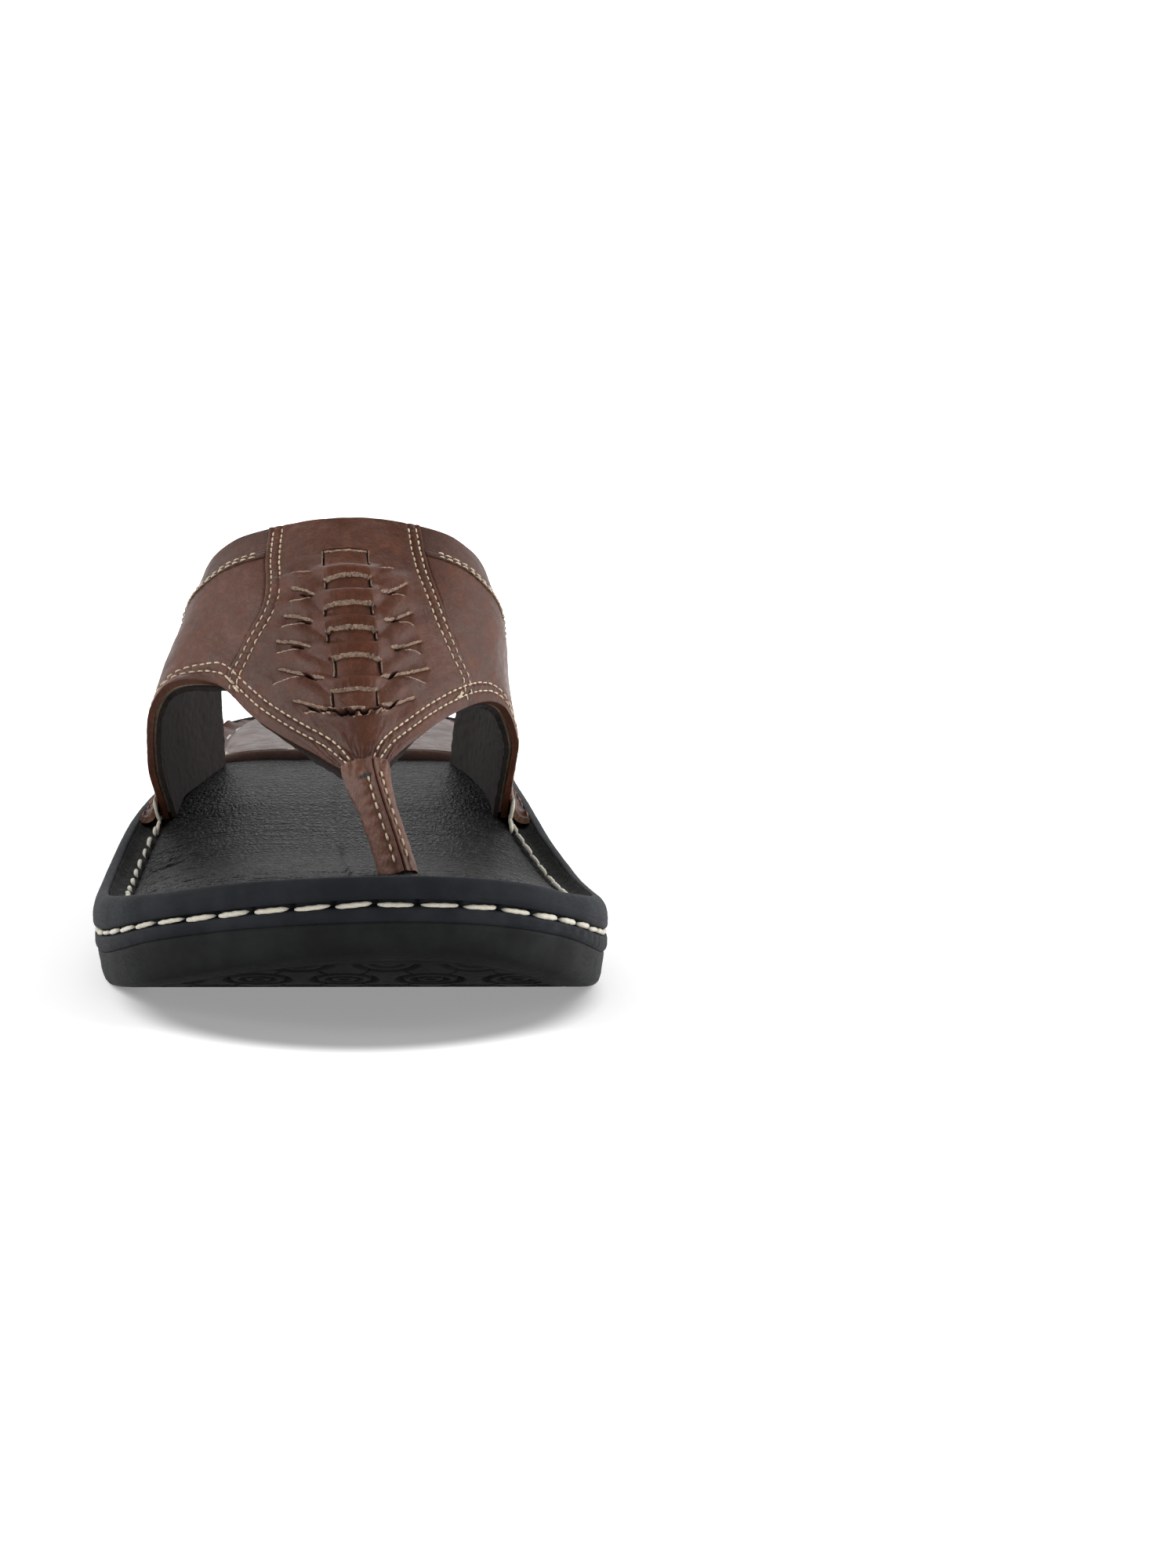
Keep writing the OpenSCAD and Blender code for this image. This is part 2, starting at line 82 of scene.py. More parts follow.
# ------------------------------------------------------------------ numbers
def tab(T, x):
    T = np.asarray(T, float); X, V = T[:, 0], T[:, 1]
    x = np.asarray(x, float); sh = x.shape; x = x.ravel()
    m = np.empty_like(V)
    m[1:-1] = (V[2:] - V[:-2]) / (X[2:] - X[:-2])
    m[0] = (V[1] - V[0]) / (X[1] - X[0]); m[-1] = (V[-1] - V[-2]) / (X[-1] - X[-2])
    xc = np.clip(x, X[0], X[-1]); k = np.clip(np.searchsorted(X, xc, side="right") - 1, 0, len(X) - 2)
    h = X[k + 1] - X[k]; u = (xc - X[k]) / h
    r = ((2*u**3 - 3*u**2 + 1)*V[k] + (u**3 - 2*u**2 + u)*h*m[k] + (3*u**2 - 2*u**3)*V[k+1] + (u**3 - u**2)*h*m[k+1])
    return r.reshape(sh)


def sst(a, b, x):
    u = np.clip((np.asarray(x, float) - a) / (b - a), 0, 1)
    return u*u*(3 - 2*u)


def gau(x, w):
    return np.exp(-(np.asarray(x) / w)**2)


def _hash(a, b, c, seed):
    n = (a.astype(np.int64)*73856093) ^ (b.astype(np.int64)*19349663) ^ (c.astype(np.int64)*83492791) ^ (seed*26544357)
    n = ((n ^ (n >> 13)) * 1274126177) & 0xffffffff
    n = n ^ (n >> 15); n = (n * 2246822519) & 0xffffffff; n = n ^ (n >> 13)
    return (n & 0xffff) / 32767.5 - 1.0


def noise(x, y, z=0.0, seed=1):
    x, y, z = np.broadcast_arrays(np.asarray(x, float), np.asarray(y, float), np.asarray(z, float))
    ix, iy, iz = np.floor(x), np.floor(y), np.floor(z)
    fx, fy, fz = x - ix, y - iy, z - iz
    fx, fy, fz = [f*f*f*(f*(f*6 - 15) + 10) for f in (fx, fy, fz)]
    r = 0
    for i in (0, 1):
        for j in (0, 1):
            for k in (0, 1):
                w = (fx if i else 1 - fx)*(fy if j else 1 - fy)*(fz if k else 1 - fz)
                r = r + w*_hash(ix + i, iy + j, iz + k, seed)
    return r


def fbm(x, y, z=0.0, seed=1, octaves=3):
    r, a = 0, 1.0
    for o in range(octaves):
        r = r + a*noise(np.asarray(x)*2**o, np.asarray(y)*2**o, np.asarray(z)*2**o, seed + o*7)
        a *= 0.5
    return r


def cum(P):
    d = np.linalg.norm(np.diff(P, axis=0), axis=1)
    return np.concatenate([[0], np.cumsum(d)])


def resample(P, n=None, step=None, closed=False):
    P = np.asarray(P, float)
    if closed:
        P = np.concatenate([P, P[:1]])
    c = cum(P)
    if n is None:
        n = int(round(c[-1] / step)) + 1
    s = np.linspace(0, c[-1], n + 1)[:-1] if closed else np.linspace(0, c[-1], n)
    return np.stack([np.interp(s, c, P[:, i]) for i in range(P.shape[1])], 1)


# ------------------------------------------------------------------ meshes
def gridq(m, n, cu=False, cv=False, off=0, flip=False):
    i = np.arange(m if cu else m - 1); j = np.arange(n if cv else n - 1)
    I, J = np.meshgrid(i, j, indexing="ij"); I2 = (I + 1) % m; J2 = (J + 1) % n
    q = np.stack([I*n + J, I2*n + J, I2*n + J2, I*n + J2], -1).reshape(-1, 4) + off
    return q[:, ::-1].copy() if flip else q


def mk(name, V, quads, tris=None, mats=(), mi=None, sharp=38, attrs=None):
    V = np.asarray(V, float)
    quads = np.asarray(quads, np.int64).reshape(-1, 4)
    tris = np.zeros((0, 3), np.int64) if tris is None or len(tris) == 0 else np.asarray(tris, np.int64).reshape(-1, 3)
    me = bpy.data.meshes.new(name)
    me.vertices.add(len(V)); me.vertices.foreach_set("co", (V*MM).astype(np.float32).ravel())
    idx = np.concatenate([quads.ravel(), tris.ravel()]).astype(np.int32)
    nq, nt = len(quads), len(tris)
    me.loops.add(len(idx)); me.loops.foreach_set("vertex_index", idx)
    me.polygons.add(nq + nt)
    me.polygons.foreach_set("loop_start", np.concatenate([np.arange(nq)*4, nq*4 + np.arange(nt)*3]).astype(np.int32))
    for m in mats:
        me.materials.append(m)
    if mi is not None:
        me.polygons.foreach_set("material_index", np.asarray(mi, np.int32))
    for k, v in (attrs or {}).items():
        a = me.attributes.new(k, "FLOAT", "POINT")
        a.data.foreach_set("value", np.asarray(v, np.float32).ravel())
    me.update(calc_edges=True)
    me.validate()
    me.polygons.foreach_set("use_smooth", np.ones(len(me.polygons), bool))
    me.set_sharp_from_angle(angle=math.radians(sharp))
    o = bpy.data.objects.new(name, me)
    bpy.context.scene.collection.objects.link(o)
    return o


def piece(o, nodes):
    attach(o, "root")
    if nodes:
        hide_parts(*nodes)
    return o


def loop_of(m, n):
    """Indices round the border of an m x n grid."""
    a = [i*n for i in range(m)]
    b = [(m-1)*n + j for j in range(1, n)]
    c = [i*n + n - 1 for i in range(m-2, -1, -1)]
    d = [j for j in range(n-2, 0, -1)]
    return np.array(a + b + c + d)


def shell(A, B, rows=3, bulge=0.0):
    """Closed sheet between an outer grid A and an inner grid B, with rows of faces on its cut edge.
    Returns vertices, quads, and a mask of the quads on the cut edge, and of the vertices there."""
    m, n = A.shape[:2]
    a, b = A.reshape(-1, 3), B.reshape(-1, 3)
    L = loop_of(m, n); k = len(L)
    V = [a, b]; base = 2*m*n
    prev = L.copy()
    Q = [gridq(m, n), gridq(m, n, off=m*n, flip=True)]
    cent = a.mean(0)
    edge = []
    al, bl = a[L], b[L]
    tang = np.roll(al, -1, 0) - np.roll(al, 1, 0)
    thick = bl - al
    outw = np.cross(thick, tang); outw /= np.maximum(np.linalg.norm(outw, axis=1), 1e-9)[:, None]
    for r in range(1, rows + 1):
        if r < rows:
            f = r / rows
            p = al + thick*f + outw*bulge*math.sin(math.pi*f)
            cur = base + (r-1)*k + np.arange(k)
            V.append(p)
        else:
            cur = L + m*n
        nx = np.roll(np.arange(k), -1)
        edge.append(np.stack([prev, cur, cur[nx], prev[nx]], 1)[:, ::-1])
        prev = cur
    E = np.concatenate(edge)
    V = np.concatenate(V)
    mask = np.concatenate([np.zeros(len(Q[0]) + len(Q[1]), bool), np.ones(len(E), bool)])
    Q = np.concatenate(Q + [E])
    return V, Q, mask, L


def ringstack(rings, closed_profile=False):
    """Rings of points (K, N, 3) swept into quads; the profile runs along K."""
    R = np.asarray(rings); K, N = R.shape[:2]
    return R.reshape(-1, 3), gridq(K, N, cu=closed_profile, cv=True)


def strip_fill(off, N, flip=False):
    """Closes a ring of N points by strips from side to side."""
    q = [[off + i, off + i + 1, off + N - i - 1, off + N - i] for i in range(1, N//2 - 1)]
    t = [[off, off + 1, off + N - 1], [off + N//2 - 1, off + N//2, off + N//2 + 1]]
    q, t = np.array(q), np.array(t)
    return (q[:, ::-1].copy(), t[:, ::-1].copy()) if flip else (q, t)


def orient(name_or_obj):
    """Makes the faces point outwards."""
    import bmesh
    me = name_or_obj.data
    bm = bmesh.new(); bm.from_mesh(me)
    bmesh.ops.recalc_face_normals(bm, faces=bm.faces[:])
    bm.to_mesh(me); bm.free(); me.update()
    return name_or_obj


# ------------------------------------------------------------------ the sole outline
def outline(N):
    P = np.array(OUT, float); n = len(P)
    us = np.arange(8000) / 8000 * n; k = np.floor(us).astype(int) % n; f = (us - np.floor(us))[:, None]
    a, b, c, d = P[(k-1) % n], P[k], P[(k+1) % n], P[(k+2) % n]
    Q = 0.5*((2*b) + (-a + c)*f + (2*a - 5*b + 4*c - d)*f**2 + (-a + 3*b - 3*c + d)*f**3)
    return resample(Q, n=N, closed=True)


def smooth_closed(V, w):
    for _ in range(w):
        V = (np.roll(V, 1, 0) + 2*V + np.roll(V, -1, 0)) / 4
    return V


NR = 960
R0 = smooth_closed(outline(NR), 6)
_t = np.roll(R0, -1, 0) - np.roll(R0, 1, 0); _t /= np.linalg.norm(_t, axis=1)[:, None]
NI = smooth_closed(np.stack([-_t[:, 1], _t[:, 0]], 1), 10); NI /= np.linalg.norm(NI, axis=1)[:, None]
ARC = cum(np.concatenate([R0, R0[:1]]))[:-1]
PERIM = cum(np.concatenate([R0, R0[:1]]))[-1]


def at(d):
    d = np.asarray(d, float)
    return R0 + NI*(d[:, None] if d.ndim else d)


def ringpt(d, T, dz):
    p = at(d)
    return np.column_stack([p, tab(T, p[:, 1]) + dz])


# ------------------------------------------------------------------ the upper surface
def U(s, t):
    s = np.asarray(s, float); t = np.asarray(t, float); s, t = np.broadcast_arrays(s, t); sh = s.shape
    s, t = s.ravel(), t.ravel()
    tc = np.clip(t, 0, 1)

    def herm(g, x, n):
        k = np.clip(np.floor(x).astype(int), 0, n - 2); u = (x - k)[:, None]
        def sl(i):
            a = np.clip(i - 1, 0, n - 1); b = np.clip(i + 1, 0, n - 1)
            return (g(b) - g(a)) / (b - a)[:, None]
        return (2*u**3 - 3*u**2 + 1)*g(k) + (u**3 - 2*u**2 + u)*sl(k) + (-2*u**3 + 3*u**2)*g(k+1) + (u**3 - u**2)*sl(k+1)
    rows = np.stack([herm(lambda k, j=j: NET[k, j], s*14, 15) for j in range(4)])
    idx = np.arange(len(s))
    P = herm(lambda j: rows[j, idx], tc*3, 4)
    over = (t - tc)[:, None]
    if np.any(over):
        d0 = (rows[1] - rows[0])*3; d1 = (rows[3] - rows[2])*3
        P = P + np.where(over < 0, d0, d1)*over
    return P.reshape(sh + (3,))


def UN(s, t):
    e = 2e-3
    a = U(np.minimum(s + e, 1), t) - U(np.maximum(s - e, 0), t)
    b = U(s, np.minimum(t + e, 1)) - U(s, np.maximum(t - e, 0))
    n = np.cross(a, b)
    return n / np.linalg.norm(n, axis=-1)[..., None]


LS, LT = 205.0, 88.0


def lines(length, step, fine=(0.12, 0.3, 0.55, 0.9)):
    """Places 0..1 along a length in mm: an even step inside, closer near both ends."""
    n = max(4, int(length / step))
    a = np.concatenate([[0], np.array(fine) / length])
    mid = np.linspace(1.4 / length, 1 - 1.4 / length, n)
    return np.concatenate([a, mid, 1 - a[::-1]])


def roundoff(d, r=0.34):
    u = np.clip(d / r, 0, 1)
    return -r*(1 - np.sqrt(np.clip(1 - (1 - u)**2, 0, 1)))


# ------------------------------------------------------------------ material building
class NB:
    def __init__(self, name):
        self.m = bpy.data.materials.new(name); self.m.use_nodes = True
        self.nt = self.m.node_tree; self.nt.nodes.clear()
        self.out = self.nt.nodes.new("ShaderNodeOutputMaterial")
        self.co = self.n("ShaderNodeTexCoord").outputs["Object"]

    def n(self, kind, _in=None, **props):
        nd = self.nt.nodes.new(kind)
        for k, v in props.items():
            setattr(nd, k, v)
        for k, v in (_in or {}).items():
            self.put(nd.inputs[k], v)
        return nd

    def put(self, sock, v):
        if isinstance(v, bpy.types.NodeSocket):
            self.nt.links.new(v, sock)
        elif isinstance(v, (tuple, list)) and sock.type == "RGBA" and len(v) == 3:
            sock.default_value = (*v, 1)
        else:
            sock.default_value = v

    def attr(self, name):
        return self.n("ShaderNodeAttribute", attribute_name=name).outputs["Fac"]

    def scaled(self, s, warp=None):
        """Object coordinates in mm times s."""
        k = s if isinstance(s, (tuple, list)) else (s, s, s)
        v = self.n("ShaderNodeVectorMath", {0: self.co, 1: tuple(1000.0*x for x in k)}, operation="MULTIPLY").outputs[0]
        if warp is not None:
            v = self.n("ShaderNodeVectorMath", {0: v, 1: warp}, operation="ADD").outputs[0]
        return v

    def noise(self, s, detail=3, rough=0.5, dist=0.0, color=False):
        nd = self.n("ShaderNodeTexNoise", {"Vector": self.scaled(s), "Scale": 1.0, "Detail": detail, "Roughness": rough,
                                          "Distortion": dist})
        return nd.outputs["Color" if color else 0]

    def voro(self, s, feature="F1", rand=1.0, warp=None):
        nd = self.n("ShaderNodeTexVoronoi", feature=feature)
        self.put(nd.inputs["Vector"], self.scaled(s, warp)); nd.inputs["Scale"].default_value = 1.0
        nd.inputs["Randomness"].default_value = rand
        return nd.outputs["Distance"]

    def math(self, op, a, b=0.0, c=0.0, clamp=False):
        nd = self.n("ShaderNodeMath", operation=op, use_clamp=clamp)
        self.put(nd.inputs[0], a); self.put(nd.inputs[1], b); self.put(nd.inputs[2], c)
        return nd.outputs[0]

    def rng(self, v, a, b, c=0.0, d=1.0, smooth=True):
        nd = self.n("ShaderNodeMapRange", interpolation_type="SMOOTHSTEP" if smooth else "LINEAR")
        for k, x in zip(("Value", "From Min", "From Max", "To Min", "To Max"), (v, a, b, c, d)):
            self.put(nd.inputs[k], x)
        return nd.outputs[0]

    def mix(self, f, a, b, mode="MIX"):
        nd = self.n("ShaderNodeMix", data_type="RGBA", blend_type=mode)
        self.put(nd.inputs[0], f); self.put(nd.inputs[6], a); self.put(nd.inputs[7], b)
        return nd.outputs[2]

    def bump(self, h, strength, dist_mm, normal=None):
        nd = self.n("ShaderNodeBump", {"Height": h, "Strength": strength, "Distance": dist_mm*0.001})
        if normal is not None:
            self.put(nd.inputs["Normal"], normal)
        return nd.outputs[0]

    def bsdf(self, **kw):
        nd = self.n("ShaderNodeBsdfPrincipled")
        for k, v in kw.items():
            self.put(nd.inputs[k.replace("_", " ")], v)
        self.nt.links.new(nd.outputs[0], self.out.inputs[0])
        return self.m


def leather(name, c_lo, c_hi, c_red, rough=0.42, grain=1.0, coat=0.25, burnish_and_painted_shade=0.55, raw=(0.46, 0.33, 0.25)):
    """Brown waxed leather. Point values: raw = bare cut edge, pull = red pull-up; the burnish value darkens edges and
    seams as burnish and paints shade into valleys, creases, wrinkles and under laps; the gap value paints near-black
    shade into holes, slits and under lips.
    """
    b = NB(name)
    big = b.noise(0.055, 4, 0.55); mid = b.noise(0.22, 5, 0.6, 0.4); fine = b.noise(2.2, 4, 0.6)
    col = b.mix(b.rng(big, 0.36, 0.66), c_lo, c_hi)
    col = b.mix(b.math("MULTIPLY", b.rng(mid, 0.5, 0.72), 0.55), col, c_red)
    col = b.mix(b.math("MULTIPLY", b.attr("pull"), 0.42), col, c_red)
    col = b.mix(b.math("MULTIPLY", b.rng(b.noise((0.5, 0.32, 0.5), 7, 0.74, 0.9), 0.46, 0.62, 1.0, 0.0), 0.4), col, tuple(x*0.5 for x in c_lo))
    col = b.mix(b.math("MULTIPLY", b.rng(fine, 0.35, 0.75), 0.25), col, tuple(x*0.55 for x in c_lo))
    scuff = b.rng(b.noise((1.1, 0.5, 1.1), 6, 0.72), 0.66, 0.8)
    col = b.mix(b.math("MULTIPLY", scuff, 0.28), col, tuple(min(1, x*1.9 + 0.02) for x in c_hi))
    # darkening by the burnish value: burnish on edges and seams, painted shade in valleys, creases, wrinkles and under
    # laps
    col = b.mix(b.math("MULTIPLY", b.attr("burnish_and_painted_shade"), burnish_and_painted_shade), col, tuple(x*0.32 for x in c_lo))
    rawc = b.mix(b.rng(b.noise(1.7, 5, 0.7), 0.35, 0.62), raw, tuple(x*0.42 for x in raw))
    rawf = b.rng(b.attr("raw"), 0.42, 0.58)
    col = b.mix(rawf, col, rawc)
    # painted shade: the gap value turns holes, slits and the undersides of lips near black, and makes them rough and
    # dull
    painted_shade_f = b.attr("painted_shade_and_tone")
    col = b.mix(painted_shade_f, col, (0.004, 0.003, 0.003))
    pores = b.voro(1.9*grain, "F1"); cells = b.voro(1.15*grain, "SMOOTH_F1", 1.0)
    wr = b.noise((0.75, 0.35, 0.75), 6, 0.68, 0.8)
    h = b.math("ADD", b.math("MULTIPLY", b.rng(pores, 0.05, 0.55), 0.35), b.math("MULTIPLY", cells, 0.3))
    crs = b.voro((0.62*grain, 0.9*grain, 0.62*grain), "DISTANCE_TO_EDGE", 1.0,
                 b.n("ShaderNodeVectorMath", {0: b.noise(0.8, 3, 0.6, color=True), 1: (1.5, 1.5, 1.5)}, operation="MULTIPLY").outputs[0])
    h = b.math("ADD", h, b.math("MULTIPLY", wr, 1.1))
    h = b.math("ADD", h, b.math("MULTIPLY", b.rng(crs, 0.0, 0.1), 0.35))
    n1 = b.bump(h, 0.4, 0.15)
    fz = b.noise(5.0, 3, 0.8)
    n2 = b.bump(fz, b.math("MULTIPLY_ADD", rawf, 0.9, 0.12), 0.14, n1)
    r = b.math("ADD", b.math("MULTIPLY", b.rng(mid, 0.3, 0.7), 0.14), rough - 0.07)
    r = b.math("ADD", r, b.math("MULTIPLY", rawf, 0.45), clamp=True)
    r = b.math("MAXIMUM", r, b.math("MULTIPLY", painted_shade_f, 0.95))
    spec = b.math("SUBTRACT", 0.145, b.math("MULTIPLY", b.math("MAXIMUM", rawf, painted_shade_f), 0.13))
    ct = b.math("MULTIPLY", b.math("SUBTRACT", 1.0, b.math("MAXIMUM", rawf, painted_shade_f)), coat)
    return b.bsdf(Base_Color=col, Roughness=r, Specular_IOR_Level=spec, Coat_Weight=ct, Coat_Roughness=0.34, Normal=n2)


def nappa(name, base, fold_crest_sheen, rough=0.46):
    """Black padded leather with a fine pebbled grain, with painted shade in its cracks and a painted sheen on its fold
    crests.
    """
    b = NB(name)
    w = b.n("ShaderNodeVectorMath", {0: b.noise(0.5, 2, 0.5, color=True), 1: (1.6, 1.6, 1.6)}, operation="MULTIPLY").outputs[0]
    cells = b.voro((0.9, 0.3, 0.9), "F1", 1.0, w)
    crack = b.voro((0.9, 0.3, 0.9), "DISTANCE_TO_EDGE", 1.0, w)
    fold = b.noise((0.09, 0.62, 0.12), 5, 0.62, 0.5); fine = b.noise(3.6, 3, 0.7)
    h = b.math("ADD", b.math("MULTIPLY", b.rng(crack, 0.0, 0.3), 0.8), b.math("MULTIPLY", fold, 2.0))
    h = b.math("ADD", h, b.math("MULTIPLY", fine, 0.22))
    nrm = b.bump(h, 1.0, 1.5)
    # painted shade: the grain's cracks, sunk by the bump, are drawn darker
    col = b.mix(b.rng(crack, 0.02, 0.26), tuple(x*0.18 for x in base), base)
    # painted sheen: the fold crests, raised by the bump, are drawn lighter
    col = b.mix(b.math("MULTIPLY", b.rng(fold, 0.45, 0.72), 0.5), col, fold_crest_sheen)
    # darker near the crease: painted shade in the crease dip
    col = b.mix(b.math("MULTIPLY", b.attr("burnish_and_painted_shade"), 0.8), col, tuple(x*0.2 for x in base))
    r = b.math("ADD", b.math("MULTIPLY", cells, 0.1), rough - 0.04)
    return b.bsdf(Base_Color=col, Roughness=r, Specular_IOR_Level=0.066, Normal=nrm)


def rubber(name, base, rough=0.5):
    b = NB(name)
    m1 = b.noise(0.09, 4, 0.6); m2 = b.noise(6.0, 4, 0.7); m3 = b.noise((0.6, 0.6, 2.6), 5, 0.7)
    col = b.mix(b.rng(m1, 0.35, 0.7), base, tuple(x*1.45 + 0.001 for x in base))
    col = b.mix(b.math("MULTIPLY", b.rng(b.noise(0.9, 6, 0.75), 0.64, 0.8), 0.35), col, tuple(x*2.3 for x in base))
    # painted shade in the midsole's stitch holes; on the tread the same value darkens the raised pattern
    col = b.mix(b.attr("painted_shade_and_tone"), col, (0.002, 0.002, 0.002))
    h = b.math("ADD", b.math("MULTIPLY", m2, 0.35), b.math("MULTIPLY", m3, 0.5))
    nrm = b.bump(h, 0.5, 0.06)
    r = b.math("ADD", b.math("MULTIPLY", b.rng(m3, 0.35, 0.7), 0.12), rough)
    return b.bsdf(Base_Color=col, Roughness=r, Specular_IOR_Level=0.035, Normal=nrm)


def thread(name, base, dirt=0.35):
    b = NB(name)
    f1 = b.noise((5, 5, 5), 3, 0.7); f2 = b.noise(0.35, 3, 0.6)
    col = b.mix(b.rng(f1, 0.3, 0.7), tuple(x*0.62 for x in base), base)
    col = b.mix(b.math("MULTIPLY", b.rng(f2, 0.45, 0.7), dirt), col, tuple(x*0.5 for x in base))
    # painted shade: each stitch is darker towards its ends, where it sinks into its hole
    col = b.mix(b.attr("burnish_and_painted_shade"), col, tuple(x*0.3 for x in base))
    nrm = b.bump(b.noise((7, 7, 7), 2, 0.8), 0.6, 0.06)
    return b.bsdf(Base_Color=col, Roughness=0.72, Specular_IOR_Level=0.3, Sheen_Weight=0.25, Sheen_Roughness=0.5, Normal=nrm)


def felt(name, base, hi, scale=2.4, strength=0.9, sheen=0.4, rough=0.9):
    b = NB(name)
    f = b.noise(scale, 5, 0.75); g = b.noise(0.16, 4, 0.6); w = b.voro(scale*0.8, "F1")
    col = b.mix(b.rng(f, 0.35, 0.7), base, hi)
    col = b.mix(b.math("MULTIPLY", b.rng(g, 0.4, 0.7), 0.4), col, tuple(x*0.5 for x in base))
    col = b.mix(b.attr("raw"), col, (0.16, 0.07, 0.05))
    h = b.math("ADD", f, b.math("MULTIPLY", w, 0.4))
    return b.bsdf(Base_Color=col, Roughness=rough, Specular_IOR_Level=0.2, Sheen_Weight=sheen, Sheen_Roughness=0.6,
                  Normal=b.bump(h, strength, 0.22))


def webbing(name, base):
    b = NB(name)
    wv = b.n("ShaderNodeTexWave", {"Vector": b.scaled((0.9, 0.9, 1.6)), "Scale": 0.5, "Distortion": 0.4, "Detail": 2.0}).outputs["Fac"]
    col = b.mix(wv, tuple(x*0.5 for x in base), base)
    return b.bsdf(Base_Color=col, Roughness=0.8, Normal=b.bump(b.math("ADD", wv, b.noise(4, 3, 0.7)), 0.7, 0.2))


def board(name, base):
    b = NB(name)
    f = b.noise((1.8, 0.5, 1.8), 6, 0.75); sp = b.voro(0.8, "F1")
    col = b.mix(b.rng(f, 0.3, 0.7), tuple(x*0.7 for x in base), base)
    col = b.mix(b.rng(sp, 0.0, 0.18, 0.4, 0.0), col, tuple(x*0.35 for x in base))
    return b.bsdf(Base_Color=col, Roughness=0.88, Normal=b.bump(f, 0.6, 0.15))


M_UP = leather("upper_leather", (0.069, 0.0235, 0.0122), (0.112, 0.043, 0.0255), (0.128, 0.036, 0.0145), 0.42, 1.0, 0.0)
M_COL = leather("collar_leather", (0.058, 0.0215, 0.013), (0.088, 0.036, 0.0225), (0.1, 0.03, 0.0145), 0.42, 1.0, 0.0)
M_HEEL = leather("heel_leather", (0.062, 0.033, 0.0245), (0.1, 0.055, 0.043), (0.088, 0.038, 0.026), 0.42, 0.9, 0.0)
M_POST = leather("post_leather", (0.12, 0.054, 0.035), (0.185, 0.09, 0.062), (0.165, 0.055, 0.03), 0.38, 1.3, 0.0)
M_MARG = leather("margin_brown", (0.06, 0.02, 0.012), (0.095, 0.034, 0.021), (0.105, 0.03, 0.016), 0.5, 1.0, 0.0,
                 raw=(0.24, 0.14, 0.095))
M_FOOT = nappa("footbed_leather", (0.0085, 0.0085, 0.0083), (0.016, 0.016, 0.0155), 0.41)
M_MARB = felt("margin_black", (0.004, 0.004, 0.004), (0.036, 0.036, 0.034), 1.5, 1.8, 0.04)
M_LIN = felt("lining_black", (0.008, 0.0048, 0.0038), (0.021, 0.0135, 0.0108), 2.6, 0.8, 0.04)
M_BACK = felt("interlining", (0.16, 0.11, 0.075), (0.26, 0.19, 0.13), 2.0, 0.9, 0.2)
M_MID = rubber("midsole_rubber", (0.0132, 0.0142, 0.0166), 0.57)
M_TREAD = rubber("tread_rubber", (0.0118, 0.0123, 0.0126), 0.54)
M_STH = thread("sole_thread", (0.66, 0.62, 0.51))
M_TTH = thread("trim_thread", (0.68, 0.54, 0.38), 0.45)
M_FOAM = felt("cushion_foam", (0.62, 0.52, 0.3), (0.75, 0.66, 0.42), 1.2, 0.6, 0.1)
M_BOARD = board("insole_board", (0.42, 0.3, 0.18))
M_WEB = webbing("webbing", (0.03, 0.03, 0.03))
M_ANCH = rubber("anchor_plastic", (0.02, 0.02, 0.022), 0.4)

for node, m in (("insole_board", M_BOARD), ("toe_post_anchor", M_ANCH), ("toe_post_core", M_WEB)):
    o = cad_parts[node]
    o.data.materials.clear(); o.data.materials.append(m)

# ------------------------------------------------------------------ midsole
yR = R0[:, 1]; xR = R0[:, 0]


def wall_ring(d, T, dz, Tz2=None, f=0.0):
    """A ring of points at inset d from the outline; height from table T plus dz, or a blend towards table Tz2."""
    d = np.broadcast_to(np.asarray(d, float), (NR,))
    p = R0 + NI*d[:, None]
    z = tab(T, p[:, 1]) + dz
    if Tz2 is not None:
        z = z*(1 - f) + (tab(Tz2[0], p[:, 1]) + Tz2[1])*f
    return np.column_stack([p, z])


